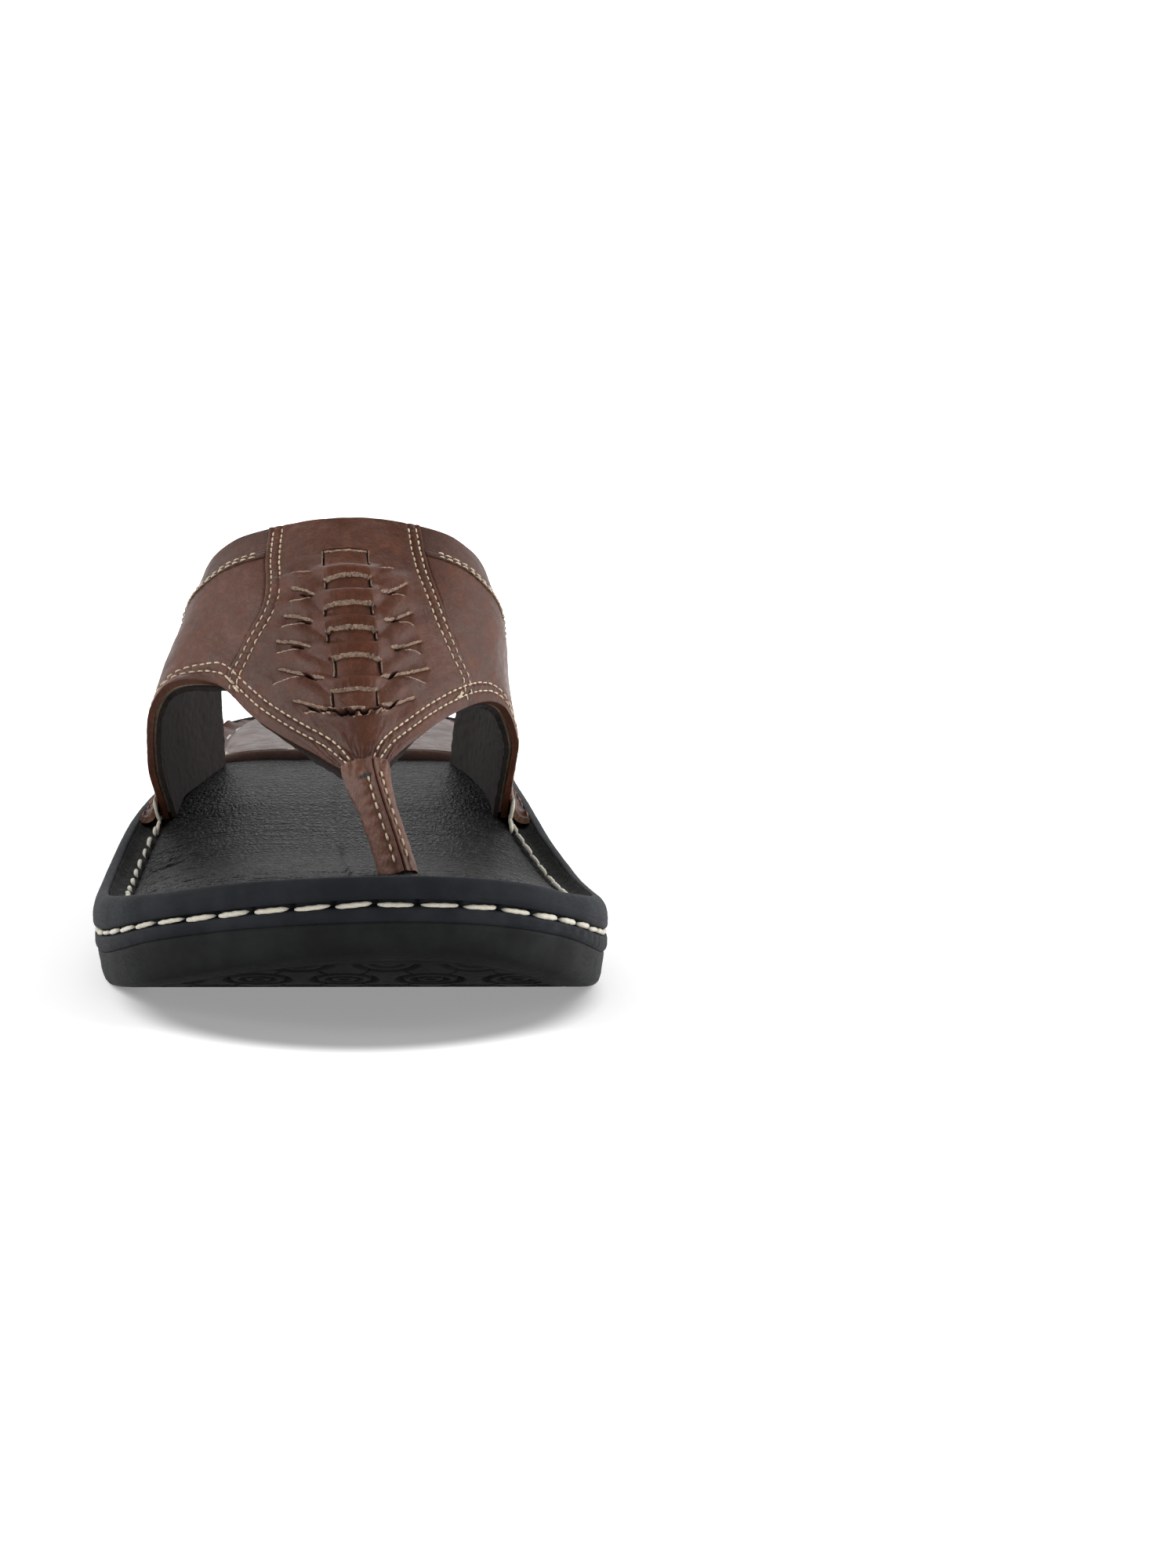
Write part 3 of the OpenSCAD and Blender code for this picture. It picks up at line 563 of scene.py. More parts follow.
def build_midsole():
    lean = sst(20, 70, yR)                      # the heel wall leans in a little
    medial = sst(5, 30, xR)*sst(-60, -95, yR)
    s0 = -0.05
    prof = []
    for d, dz in ((3.5, -6.0), (3.46, -3.0), (3.42, -1.4), (3.38, -0.7), (3.26, -0.26), (3.02, -0.02), (2.7, 0.03), (2.3, -0.06),
                  (1.85, -0.28), (1.35, -0.66), (0.95, -1.08), (0.6, -1.58), (0.34, -2.12), (0.16, -2.7), (0.06, -3.2)):
        prof.append(("R", d, dz, None, 0))
    # plain wall between the rim and the stitch, with the fine heel line in it
    for f in (0.12, 0.24, 0.36):
        prof.append(("W", 0.02, 0, None, f))
    for k in (-1.0, -0.55, -0.3, -0.1, 0.1, 0.3, 0.55, 1.0):
        prof.append(("H", 0.02, k, None, 0))
    for f in (0.62, 0.74, 0.86, 0.94):
        prof.append(("W", 0.02, 0, None, f))
    for d, dz in ((0.05, 1.42), (0.16, 1.02), (0.42, 0.78), (0.85, 0.68), (1.22, 0.56), (1.42, 0.3), (1.46, 0.0), (1.42, -0.3),
                  (1.2, -0.56), (0.8, -0.68), (0.36, -0.8), (0.12, -1.02), (0.02, -1.4), (0.0, -1.85)):
        prof.append(("S", d, dz, None, 0))
    for f in (0.3, 0.55, 0.8):
        prof.append(("B", 0.03, 0, None, f))
    for d, dz in ((0.1, 0.92), (0.22, 0.6), (0.4, 0.32), (0.62, 0.1), (0.9, -0.05), (1.4, -0.1)):
        prof.append(("G", d, dz, None, 0))
    rings, painted_shade_and_tone = [], []
    hole_phase = (ARC / PERIM * 84) % 1.0       # 0 at each gap between stitches
    hole = np.exp(-((np.minimum(hole_phase, 1 - hole_phase))*8.2/0.75)**2)
    for kind, d, dz, _, f in prof:
        zr, zs, zg = tab(ZR, yR), tab(ZS, yR), tab(ZG, yR)
        amp = sst(62, 96, yR)
        hole_shade = np.zeros(NR)
        if kind == "R":
            z = zr + dz
        elif kind == "W":
            z = (zr - 3.2)*(1 - f) + (zs + 1.42)*f
        elif kind == "H":
            mid = (zr - 3.2)*0.5 + (zs + 1.42)*0.5
            zh = np.where(yR > 60, tab(ZH, yR), mid)
            zh = mid*(1 - amp) + zh*amp
            span = np.minimum(1.0, (zr - zs - 4.6)*0.1)
            z = zh - dz*span
            d = d + 0.42*amp*np.exp(-(dz/0.32)**2) - 0.12*amp*np.exp(-((abs(dz) - 0.9)/0.4)**2)
        elif kind == "S":
            z = zs + dz
        elif kind == "B":
            z = (zs - 1.85)*(1 - f) + (zg + 0.92)*f
        else:
            z = zg + dz
        d = np.broadcast_to(np.asarray(d, float), (NR,)).copy()
        t = np.clip((z - zs) / np.maximum(zr - zs, 1), 0, 1)
        d += lean*0.85*t
        if kind in "RW":
            d += 0.35*(1 - lean)*t*sst(-144, -90, yR)*0.4
        below = kind in "BG" or (kind == "S" and dz < -0.5)
        if below:
            d += 0.42 - 0.3*sst(-10, 25, xR)
            flute = 0.5 + 0.5*np.cos(ARC/PERIM*math.pi*2*150)
            d += 0.16*flute*medial*(1.0 if kind != "G" else 0.3)
        if kind == "S" and abs(dz) < 0.6:
            # the stitch holes are sunk in and painted near black: painted shade in the holes
            d += 0.75*hole; hole_shade = hole*0.9
        d += 0.05*fbm(xR*0.11, yR*0.11, z*0.3, 3)
        p = R0 + NI*d[:, None]
        rings.append(np.column_stack([p, z])); painted_shade_and_tone.append(hole_shade)
    V, Q = ringstack(rings)
    K = len(rings)
    q1, t1 = strip_fill(0, NR)
    q2, t2 = strip_fill((K-1)*NR, NR, True)
    o = mk("midsole_block", V, np.concatenate([Q, q1, q2]), np.concatenate([t1, t2]), [M_MID], sharp=60,
           attrs={"painted_shade_and_tone": np.concatenate(painted_shade_and_tone)})
    orient(o)
    return piece(o, ["midsole"])


def build_outsole():
    rings = []
    zg, zb = tab(ZG, yR), tab(ZB, yR)
    taper = 0.35 - 0.25*sst(-10, 25, xR)
    for d, mode, dz in ((2.4, "g", 0.15), (1.7, "g", 0.12), (1.0, "g", 0.05), (0.78, "g", -0.2), (0.72, "g", -0.7), (0.8, "f", 0.25),
                        (0.92, "f", 0.5), (1.04, "f", 0.75), (1.14, "b", 3.0), (1.27, "b", 2.1), (1.44, "b", 1.45), (1.68, "b", 0.9),
                        (2.02, "b", 0.5), (2.5, "b", 0.22), (3.2, "b", 0.06), (4.5, "b", 0.0), (5.6, "b", 0.0), (6.9, "b", 0.0), (7.3, "b", 0.12),
                        (7.5, "b", 0.5), (7.6, "b", 1.5)):
        z = zg + dz if mode == "g" else (zg - 0.75)*(1 - dz) + (zb + 3.0)*dz if mode == "f" else zb + dz
        dd = np.full(NR, d) + (taper if d < 2.3 else taper*0.5)
        p = R0 + NI*dd[:, None]
        if mode == "b":
            z = tab(ZB, p[:, 1]) + dz
        dd = dd + 0.05*fbm(xR*0.11, yR*0.11, z*0.3, 5)
        p = R0 + NI*dd[:, None]
        rings.append(np.column_stack([p, z]))
    V, Q = ringstack(rings); K = len(rings)
    q1, t1 = strip_fill(0, NR); q2, t2 = strip_fill((K-1)*NR, NR, True)
    Vs, Qs, Ts, off = [V], [Q, q1, q2], [t1, t2], len(V)
    # tread insert: staggered ring studs between fine cross channels
    edge = at(np.full(NR, 7.2))
    ymin, ymax = edge[:, 1].min(), edge[:, 1].max()
    m, n = 400, 150
    th = np.linspace(0, math.pi, m)
    ys = (ymin + ymax)/2 - (ymax - ymin)/2*(0.86*np.cos(th) + 0.14*(1 - 2*th/math.pi))
    ys[0] += 0.15; ys[-1] -= 0.15
    lo_, hi_ = int(edge[:, 1].argmin()), int(edge[:, 1].argmax())
    er = np.roll(edge, -lo_, 0); kk = (hi_ - lo_) % NR
    right = er[:kk+1]; left = np.concatenate([er[kk:], er[:1]])[::-1]
    xr = np.interp(ys, right[:, 1], right[:, 0]); xl = np.interp(ys, left[:, 1], left[:, 0])
    w = np.linspace(0, 1, n)
    X = xl[:, None]*(1 - w) + xr[:, None]*w; Y = np.repeat(ys[:, None], n, 1)
    pitch = 16.5
    row = np.floor(Y / (pitch*0.866)); cx = (np.floor(X/pitch - 0.5*(row % 2)) + 0.5 + 0.5*(row % 2))*pitch
    cy = (row + 0.5)*pitch*0.866
    r = np.hypot(X - cx, Y - cy)
    ang = np.arctan2(Y - cy, X - cx)
    g = np.zeros_like(X)
    g = np.maximum(g, 1.0*(1 - sst(0.35, 0.85, np.abs(r - 5.9))))
    g = np.maximum(g, 0.8*(1 - sst(0.3, 0.7, np.abs(r - 3.1))))
    g = np.maximum(g, 0.7*(1 - sst(0.8, 1.3, r)))
    g = np.maximum(g, 0.75*(1 - sst(0.25, 0.6, np.abs(np.sin(ang*3))*r))*(r > 6.2))
    waist = sst(-22, -8, Y)*(1 - sst(42, 58, Y))
    wv = 0.9*(1 - sst(0.5, 1.1, np.abs(((Y + 1.6*np.cos(X*0.35)) % 5.6) - 2.8)))
    g = g*(1 - waist) + wv*waist
    dist = np.minimum(np.minimum((X - xl[:, None]), (xr[:, None] - X)), np.minimum(Y - ymin, ymax - Y)*0.7)
    g = g*sst(1.2, 2.4, dist)
    Z = tab(ZB, Y) + 1.25*g + 0.25*(1 - sst(0, 0.8, dist))
    A = np.stack([X, Y, Z], -1); B = np.stack([X, Y, tab(ZB, Y) + 1.9], -1)
    V3, Q3, _, _ = shell(A, B, 1)
    # the raised tread pattern is darkened by this value
    painted_shade_and_tone = np.concatenate([np.zeros(len(V)), g.ravel()*0.35, np.zeros(len(V3) - m*n)])
    Vs.append(V3); Qs.append(Q3 + off)
    o = mk("outsole_tread", np.concatenate(Vs), np.concatenate(Qs), np.concatenate(Ts), [M_TREAD], sharp=55, attrs={"painted_shade_and_tone": painted_shade_and_tone})
    orient(o)
    return piece(o, ["outsole"])


# ------------------------------------------------------------------ thread
def stitch_mesh(paths, r, lift=0.0, dip=0.5, sides=8, rings=9, ply=2, twist=1.2, flat=1.0, seed=3, taper=0.5):
    """Many short stitches; each path is (points (k,3), normals (k,3)) along one stitch."""
    rs = np.random.default_rng(seed)
    Vs, Qs, Ts, burnish_and_painted_shade = [], [], [], []; off = 0
    th = np.linspace(0, 2*math.pi, sides, endpoint=False)
    u = 0.5 - 0.5*np.cos(np.linspace(0, math.pi, rings))
    for P, Nn in paths:
        c = cum(P); L = c[-1]
        if L < 0.2:
            continue
        C = np.stack([np.interp(u*L, c, P[:, i]) for i in range(3)], 1)
        Nv = np.stack([np.interp(u*L, c, Nn[:, i]) for i in range(3)], 1); Nv /= np.linalg.norm(Nv, axis=1)[:, None]
        T = np.gradient(C, axis=0); T /= np.linalg.norm(T, axis=1)[:, None]
        B = np.cross(Nv, T); B /= np.linalg.norm(B, axis=1)[:, None]
        Nv = np.cross(T, B)
        v = 2*u - 1
        prof = np.clip(1 - np.abs(v)**4, 0, 1)**taper
        j = 1 + 0.08*rs.standard_normal(); ph = rs.uniform(0, 6.28)
        C = C + Nv*(lift*j + (prof - 1)*dip)[:, None] + B*(0.07*r*rs.standard_normal())
        rad = r*j*np.maximum(prof, 0.16)
        R = rad[:, None]*(1 + 0.1*np.cos(ply*(th[None, :] - u[:, None]*twist*2*math.pi) + ph))
        ring = C[:, None, :] + B[:, None, :]*(np.cos(th)[None, :, None]*R[..., None]) + Nv[:, None, :]*(np.sin(th)[None, :, None]*R[..., None]*flat)
        k = rings*sides
        Vs.append(ring.reshape(-1, 3)); Vs.append(C[:1] - T[:1]*rad[0]*0.5); Vs.append(C[-1:] + T[-1:]*rad[-1]*0.5)
        Qs.append(gridq(rings, sides, cv=True, off=off, flip=True))
        a = np.arange(sides); b = (a + 1) % sides
        Ts.append(np.stack([np.full(sides, off + k), off + b, off + a], 1)[:, ::-1])
        Ts.append(np.stack([np.full(sides, off + k + 1), off + (rings-1)*sides + a, off + (rings-1)*sides + b], 1)[:, ::-1])
        # darker towards both ends of each stitch, where it sinks into the leather: painted shade
        burnish_and_painted_shade.append(np.concatenate([np.repeat(np.abs(v)**6*0.55, sides), [0.7, 0.7]]))
        off += k + 2
    return np.concatenate(Vs), np.concatenate(Qs), np.concatenate(Ts), np.concatenate(burnish_and_painted_shade)


def stitch_piece(name, paths, mat, nodes, slot, **kw):
    V, Q, T, b = stitch_mesh(paths, **kw)
    o = mk(name, V, Q, T, [mat], sharp=80, attrs={"burnish_and_painted_shade": b})
    orient(o)
    return piece(o, nodes)


def along(P, Nn, pitch, length, start=0.0, stop=None, seed=5, jit=0.06):
    """Cuts a line into stitches: a list of (points, normals)."""
    rs = np.random.default_rng(seed)
    c = cum(P); L = c[-1] if stop is None else min(stop, c[-1])
    n = int((L - start + (pitch - length)) / pitch)
    out = []
    for i in range(n):
        a = start + i*pitch + rs.normal()*jit*length*0.3
        b = a + length*(1 + rs.normal()*jit)
        s = np.linspace(a, b, 7)
        out.append((np.stack([np.interp(s, c, P[:, k]) for k in range(3)], 1), np.stack([np.interp(s, c, Nn[:, k]) for k in range(3)], 1)))
    return out


def build_side_stitch():
    p = R0 + NI*0.98; P = np.column_stack([p, tab(ZS, p[:, 1])])
    P = np.concatenate([P, P[:1]]); Nn = np.column_stack([-NI, np.zeros(NR)]); Nn = np.concatenate([Nn, Nn[:1]])
    pitch = cum(P)[-1] / 84
    st = along(P, Nn, pitch, pitch*0.86, start=pitch*0.07, seed=11, jit=0.03)
    rs = np.random.default_rng(4)
    out = []
    for q, nn in st:
        tilt = rs.normal()*0.07 + 0.12
        w = np.linspace(-1, 1, len(q))
        q = q.copy(); q[:, 2] += tilt*w + 0.04*rs.normal()
        out.append((q, nn))
    return stitch_piece("sidewall_thread", out, M_STH, ["sidewall_stitch"], "sole_thread", r=0.5, lift=0.12, dip=0.75, sides=12, rings=21,
                        twist=1.6, seed=8, taper=0.45)


# ------------------------------------------------------------------ footbed
CRE = 7.9                                         # the crease line, inset from the outline


def dome_h(x, y):
    yc = np.clip(y, -135, 135)
    a, b = tab(FBL, yc), tab(FBR, yc)
    w = np.clip(np.abs(2*x - a - b) / np.maximum(b - a, 1), 0, 1)
    return tab(ZR, yc) - 0.8 + 6*tab(DOME, yc)*(1 - w**4)


def spine(y):
    yc = np.clip(y*0.88, -103, 108)
    return np.column_stack([(tab(FBL, yc) + tab(FBR, yc))/2, yc])


POST_XY = np.array([10.3, -80.0])


def bed_height(x, y, d, arc):
    """Top of the padded footbed at x, y, a distance d in from the crease and at arc length arc round it."""
    yc = np.clip(y, -100, 100)
    hw = (tab(FBR, yc) - tab(FBL, yc))/2
    H = 6*tab(DOME, y)
    H = np.where(y < -100, 6*tab(DOME, np.maximum(y, -112)), H)
    rise = H*(1 - (1 - np.minimum(d/hw, 1))**4)
    z = tab(ZR, y) - 0.95 + rise - 1.25*np.exp(-d/0.75) - 0.25*np.exp(-d/3.0)
    front = 1 - sst(20, 60, y)
    left = sst(5, -28, x)*sst(-6, -50, y)
    pk = np.cos(arc/PERIM_C*2*math.pi*84)
    z = z + (0.11 + 0.2*left)*front*pk*np.exp(-d/(3.0 + 3.5*left))*(1 - np.exp(-d/0.9))
    # pull folds that run in from the crease at the toe, then across
    warp = 5*fbm(x*0.03, y*0.05, 0, 21)
    f1 = fbm((x + d*0.3)*0.03, (y + warp)*0.33, 0, 31)
    z = z - 0.42*np.clip(1 - np.abs(f1)*3.2, 0, 1)**2*(1 - sst(-104, -62, y))*sst(1.0, 6, d)
    z = z - (0.12 + 0.42*left)*np.clip(1 - np.abs(fbm(x*0.05, y*0.22, 0, 41))*3.0, 0, 1)**2*sst(0.8, 3, d)*sst(22, 6, d)
    z = z + 0.16*fbm(x*0.05, y*0.05, 0, 51)*sst(2, 8, d)
    z = z - 0.8*np.exp(-((x - POST_XY[0])**2 + (y - POST_XY[1])**2)/6.0**2)
    return z


def build_footbed():
    global PERIM_C
    C = at(CRE); ca = cum(np.concatenate([C, C[:1]])); PERIM_C = ca[-1]; ca = ca[:-1]
    C = C + NI*(0.18*np.cos(ca/PERIM_C*2*math.pi*84))[:, None]
    S = spine(C[:, 1])
    L = np.linalg.norm(S - C, axis=1)
    K = 84
    u = np.linspace(0, 1, K); f = (0.30*u + 0.70*u**1.9)*0.985
    rings, dist = [], []
    for k in range(K):
        p = C*(1 - f[k]) + S*f[k]
        d = L*f[k]
        rings.append(np.column_stack([p, bed_height(p[:, 0], p[:, 1], d, ca)])); dist.append(d)
    under = []
    for d0, dz in ((0.12, -0.5), (0.5, -0.8)):
        p = C*(1 - d0/L[:, None]) + S*(d0/L[:, None])
        under.append(np.column_stack([p, rings[0][:, 2] + dz]))
    # lower skin: follows the top 1.3 mm below
    low = [np.column_stack([r[:, :2], r[:, 2] - 1.3]) for r in rings[8::12]]
    allr = rings[::-1] + under + low
    V, Q = ringstack(allr); n0 = len(allr)
    q1, t1 = strip_fill(0, NR); q2, t2 = strip_fill((n0-1)*NR, NR, True)
    # darker towards the crease, where the top dips: painted shade in the crease
    burnish_and_painted_shade = np.concatenate([np.exp(-dd/0.8) for dd in dist[::-1]] + [np.ones(NR)]*2 + [np.zeros(NR)]*len(low))
    o = mk("footbed_cushion", V, np.concatenate([Q, q1, q2]), np.concatenate([t1, t2]), [M_FOOT], sharp=70, attrs={"burnish_and_painted_shade": burnish_and_painted_shade})
    orient(o); piece(o, ["footbed_cover"])
    # foam under the leather
    fr = [np.column_stack([r[:, :2], r[:, 2] - 1.38 - 0.3*np.exp(-dist[4+4*i]/3)]) for i, r in enumerate(rings[4::4])]
    base = [np.column_stack([r[:, :2], tab(ZR, r[:, 1]) - 3.95]) for r in (fr[0], fr[6], fr[-1])]
    fr = fr[::-1] + base
    V, Q = ringstack(fr); n0 = len(fr)
    q1, t1 = strip_fill(0, NR); q2, t2 = strip_fill((n0-1)*NR, NR, True)
    f = mk("footbed_filling", V, np.concatenate([Q, q1, q2]), np.concatenate([t1, t2]), [M_FOAM], sharp=50)
    orient(f); piece(f, ["footbed_foam"])
    return o


def arc_range(cond):
    """Contiguous ring indices where cond holds, as one run round the closed ring."""
    i = np.where(cond)[0]
    gaps = np.where(np.diff(i) > 1)[0]
    if len(gaps) == 1 and cond[0] and cond[-1]:
        i = np.concatenate([i[gaps[0]+1:], i[:gaps[0]+1]])
    return i


def strip_shell(name, idx, prof, thick, mats, nodes, attrs_fn=None, rows=3, smooth_ends=True):
    """A strip that runs along ring indices idx; prof(i) gives the top line (k,3) across it, from the rim inwards."""
    A = np.stack([prof(i) for i in idx])          # (m, k, 3)
    B = A.copy(); B[..., 2] -= thick
    V, Q, mask, L = shell(A, B, rows)
    at_ = attrs_fn(V, A, L) if attrs_fn else {}
    o = mk(name, V, Q, None, mats, sharp=50, attrs=at_)
    orient(o)
    return piece(o, nodes)


def build_front_margin():
    """Black napped trough between the crease and the rim, round the front half."""
    idx = arc_range(yR < -4.2)
    ds = np.array([3.55, 3.7, 3.95, 4.3, 4.8, 5.4, 6.0, 6.6, 7.2, 7.7, 8.3])
    zs_ = np.array([-0.15, -0.35, -0.9, -1.35, -1.62, -1.78, -1.85, -1.9, -2.0, -2.2, -2.6])
    brownness = {}

    def prof(i):
        p = R0[i] + NI[i]*ds[:, None]
        a = ARC[i]
        lip = 0.22*fbm(a*0.35, 0.5, 0, 61) + 0.1*fbm(a*1.5, 2.5, 0, 62)
        left = sst(12, -6, xR[i])*sst(-98, -126, yR[i])
        z = tab(ZR, p[:, 1]) + zs_ + 0.12*fbm(p[:, 0]*0.5, p[:, 1]*0.5, 0, 63)
        z = z + 0.16*fbm(p[:, 0]*1.4, p[:, 1]*1.4, 0, 64) + (lip + 0.42*left)*np.exp(-((ds - 3.6)/0.35)**2)
        brownness[i] = left
        return np.column_stack([p, z])

    def attrs(V, A, L):
        raw = np.zeros(len(V)); m, n = A.shape[:2]
        for a, i in enumerate(idx):
            raw[a*n:a*n+3] = brownness[i]*np.array([1, 1, 0.6])
        k = len(L); g = 2*m*n
        lr = raw[L]
        for r in range(2):
            raw[g + r*k: g + (r+1)*k] = lr
        return {"raw": raw}
    strip_shell("footbed_margin_black", idx, prof, 0.9, [M_MARB], ["footbed_margin"], attrs)


def raw_edges(V, A, L, rows=3, inner=True):
    m, n = A.shape[:2]
    raw = np.zeros(len(V)); raw[L] = 0.52
    raw[2*m*n:] = 1.0
    raw[m*n + L] = 1.0
    return raw


def wavy(a):
    return 0.55*np.sin(a*2*math.pi/7.3 + 1.1*fbm(a*0.08, 0, 0, 71)) + 0.5*fbm(a*0.22, 3, 0, 72) + 0.16*fbm(a*1.1, 5, 0, 73)


def build_heel_margin():
    idx = arc_range(yR > 74.2)
    ds = np.array([3.5, 3.72, 4.0, 4.5, 5.1, 5.8, 6.5, 7.2, 7.9, 8.6, 9.4])

    def prof(i):
        p = R0[i] + NI[i]*ds[:, None]
        side = 1 - sst(118, 134, yR[i])
        w = wavy(ARC[i])
        up = np.clip(1 - (ds - 3.5)/4.2, 0, 1)**1.3
        z = tab(ZR, p[:, 1]) - 0.95 + up*(0.75 + 0.75*side + (0.62*side + 0.12)*w)
        p = p + NI[i]*(0.25*w*np.exp(-(ds - 3.5)/1.0)*side)[:, None]
        return np.column_stack([p, z])
    strip_shell("heel_margin_strip", idx, prof, 1.25, [M_MARG], ["heel_margin"],
                lambda V, A, L: {"raw": raw_edges(V, A, L)})


def strap_foot(side):
    """Foot line of the upper on one side: its outer skin 1.6 mm above the base, and 8.5 mm above it."""
    t = np.linspace(0, 1, 60)
    s = np.full(60, 0.0 if side < 0 else 1.0)
    ds = 0.052 if side < 0 else -0.052
    lo, hi = U(s + ds*0.1, t), U(s + ds, t)
    return lo, hi


def build_side_margin(side, name, node):
    """Out-turned foot of the upper: leaves the strap, turns outwards and ends in a wavy cut edge along the rim."""
    lo, hi = strap_foot(side)
    cond = (yR > -3.8) & (yR < 73.8) & ((xR*side) > 0)
    idx = arc_range(cond)
    k = np.linspace(0, 1, 15)

    def prof(i):
        y = yR[i]
        w = wavy(ARC[i] + (40 if side > 0 else 0))
        rim = R0[i] + NI[i]*3.65
        zr = tab(ZR, rim[1])
        H = np.array([np.interp(y, hi[:, 1], hi[:, 0]), y, np.interp(y, hi[:, 1], hi[:, 2])])
        Lo = np.array([np.interp(y, lo[:, 1], lo[:, 0]), y, np.interp(y, lo[:, 1], lo[:, 2])])
        fade = (0.55 + 0.45*sst(-4, 8, y))*(1 - sst(50, 70, y))
        a = H*(0.9*fade) + Lo*(1 - 0.9*fade) + np.array([side*0.35, 0, 0])
        if y > 60:
            g = sst(60, 74, y); a = a*(1 - g) + np.array([R0[i][0] + NI[i][0]*8.4, R0[i][1] + NI[i][1]*8.4, zr - 0.8])*g
        end = np.array([rim[0], rim[1], zr + 0.75 + 0.5*w])
        c = np.array([a[0]*0.35 + end[0]*0.65 , y, min(a[2], zr + 0.7)])
        c[0] = a[0]*0.72 + end[0]*0.28; c[2] = zr - 0.6 + 0.2*w
        P = (1 - k)[:, None]**2*end + (2*k*(1 - k))[:, None]*c + (k**2)[:, None]*a
        return P
    A = np.stack([prof(i) for i in idx])
    dA = np.gradient(A, axis=1); dB = np.gradient(A, axis=0)
    n = np.cross(dA, dB); n /= np.maximum(np.linalg.norm(n, axis=-1), 1e-9)[..., None]
    if np.mean(n[:, :5, 2]) < 0:
        n = -n
    for _ in range(4):
        n[1:-1] = (n[:-2] + 2*n[1:-1] + n[2:])/4
    taper = (1 - 0.65*sst(0.6, 1.0, k))[None, :, None]
    B = A - n*1.35*taper
    V, Q, mask, L = shell(A, B, 3)
    o = mk(name, V, Q, None, [M_MARG], sharp=50, attrs={"raw": raw_edges(V, A, L)})
    orient(o)
    return piece(o, [node])


def build_crease_stitch():
    p = R0 + NI*7.35; P = np.column_stack([p, tab(ZR, p[:, 1]) - 1.25 - 0.85*sst(-88, -112, p[:, 1])])
    P = np.concatenate([P, P[:1]])
    Nn = np.column_stack([-NI*0.55, np.full(NR, 0.83)]); Nn = np.concatenate([Nn, Nn[:1]])
    pitch = cum(P)[-1] / 84
    st = along(P, Nn, pitch, pitch*0.8, start=pitch*0.1, seed=17, jit=0.06)
    return P, Nn, st


def build_footbed_stitch():
    P, Nn, st = build_crease_stitch()
    rs = np.random.default_rng(12); out = []
    for q, nn in st:
        q = q.copy(); w = np.linspace(-1, 1, len(q)); side = np.cross(nn[3], q[-1] - q[0]); side /= np.linalg.norm(side)
        q = q + side*(0.32*w + 0.08*rs.normal())[:, None]
        on_strap = -6 < q[3, 1] < 74
        if on_strap:
            q[:, 2] += 0.5
        out.append((q, nn))
    # the tie-off loops where each strap's front edge meets the crease
    for side in (-1, 1):
        s = 0.0 if side < 0 else 1.0; ds = 0.02 if side < 0 else -0.02
        foot = U(s + ds*0.2, 0.0) + np.array([side*0.3, -1.5, -0.9]); hi = U(s + ds*1.3, 0.004) + np.array([side*0.7, -0.9, 0.2])
        fo = foot + np.array([0.3*side, -5.6, -2.2])
        n3 = np.array([[0.15*side, -0.9, 0.4]]*7)
        for a, b, c in ((fo, (fo + foot)/2 + np.array([side*0.2, -0.2, 0.6]), foot), (foot + np.array([0, 0, -0.6]), (foot + hi)/2 + np.array([side*0.3, -0.7, 0]), hi)):
            u = np.linspace(0, 1, 7)[:, None]
            out.append(((1 - u)**2*a + 2*u*(1 - u)*b + u**2*c, n3))
    return stitch_piece("footbed_thread", out, M_STH, ["footbed_stitch"], "sole_thread", r=0.43, lift=0.3, dip=0.7, sides=12, rings=17, twist=1.3,
                        seed=9, taper=0.45)


# ------------------------------------------------------------------ heel pad
def pad_outline(ins, M=480):
    """Outline of the heel pad, inset by ins: the sole's line round the heel, and a nearly straight front."""
    o = at(np.full(NR, 8.7 + ins))
    i = arc_range(o[:, 1] > 77 + ins)
    h = o[i]
    a, b = h[0], h[-1]
    xs = np.linspace(b[0], a[0], 60)[1:-1]
    yc = 77 + ins - 1.1*np.sin(np.linspace(0, math.pi, 58))
    P = np.concatenate([h, np.column_stack([xs, yc])])
    P = resample(P, n=M, closed=True)
    return smooth_closed(P, 26)


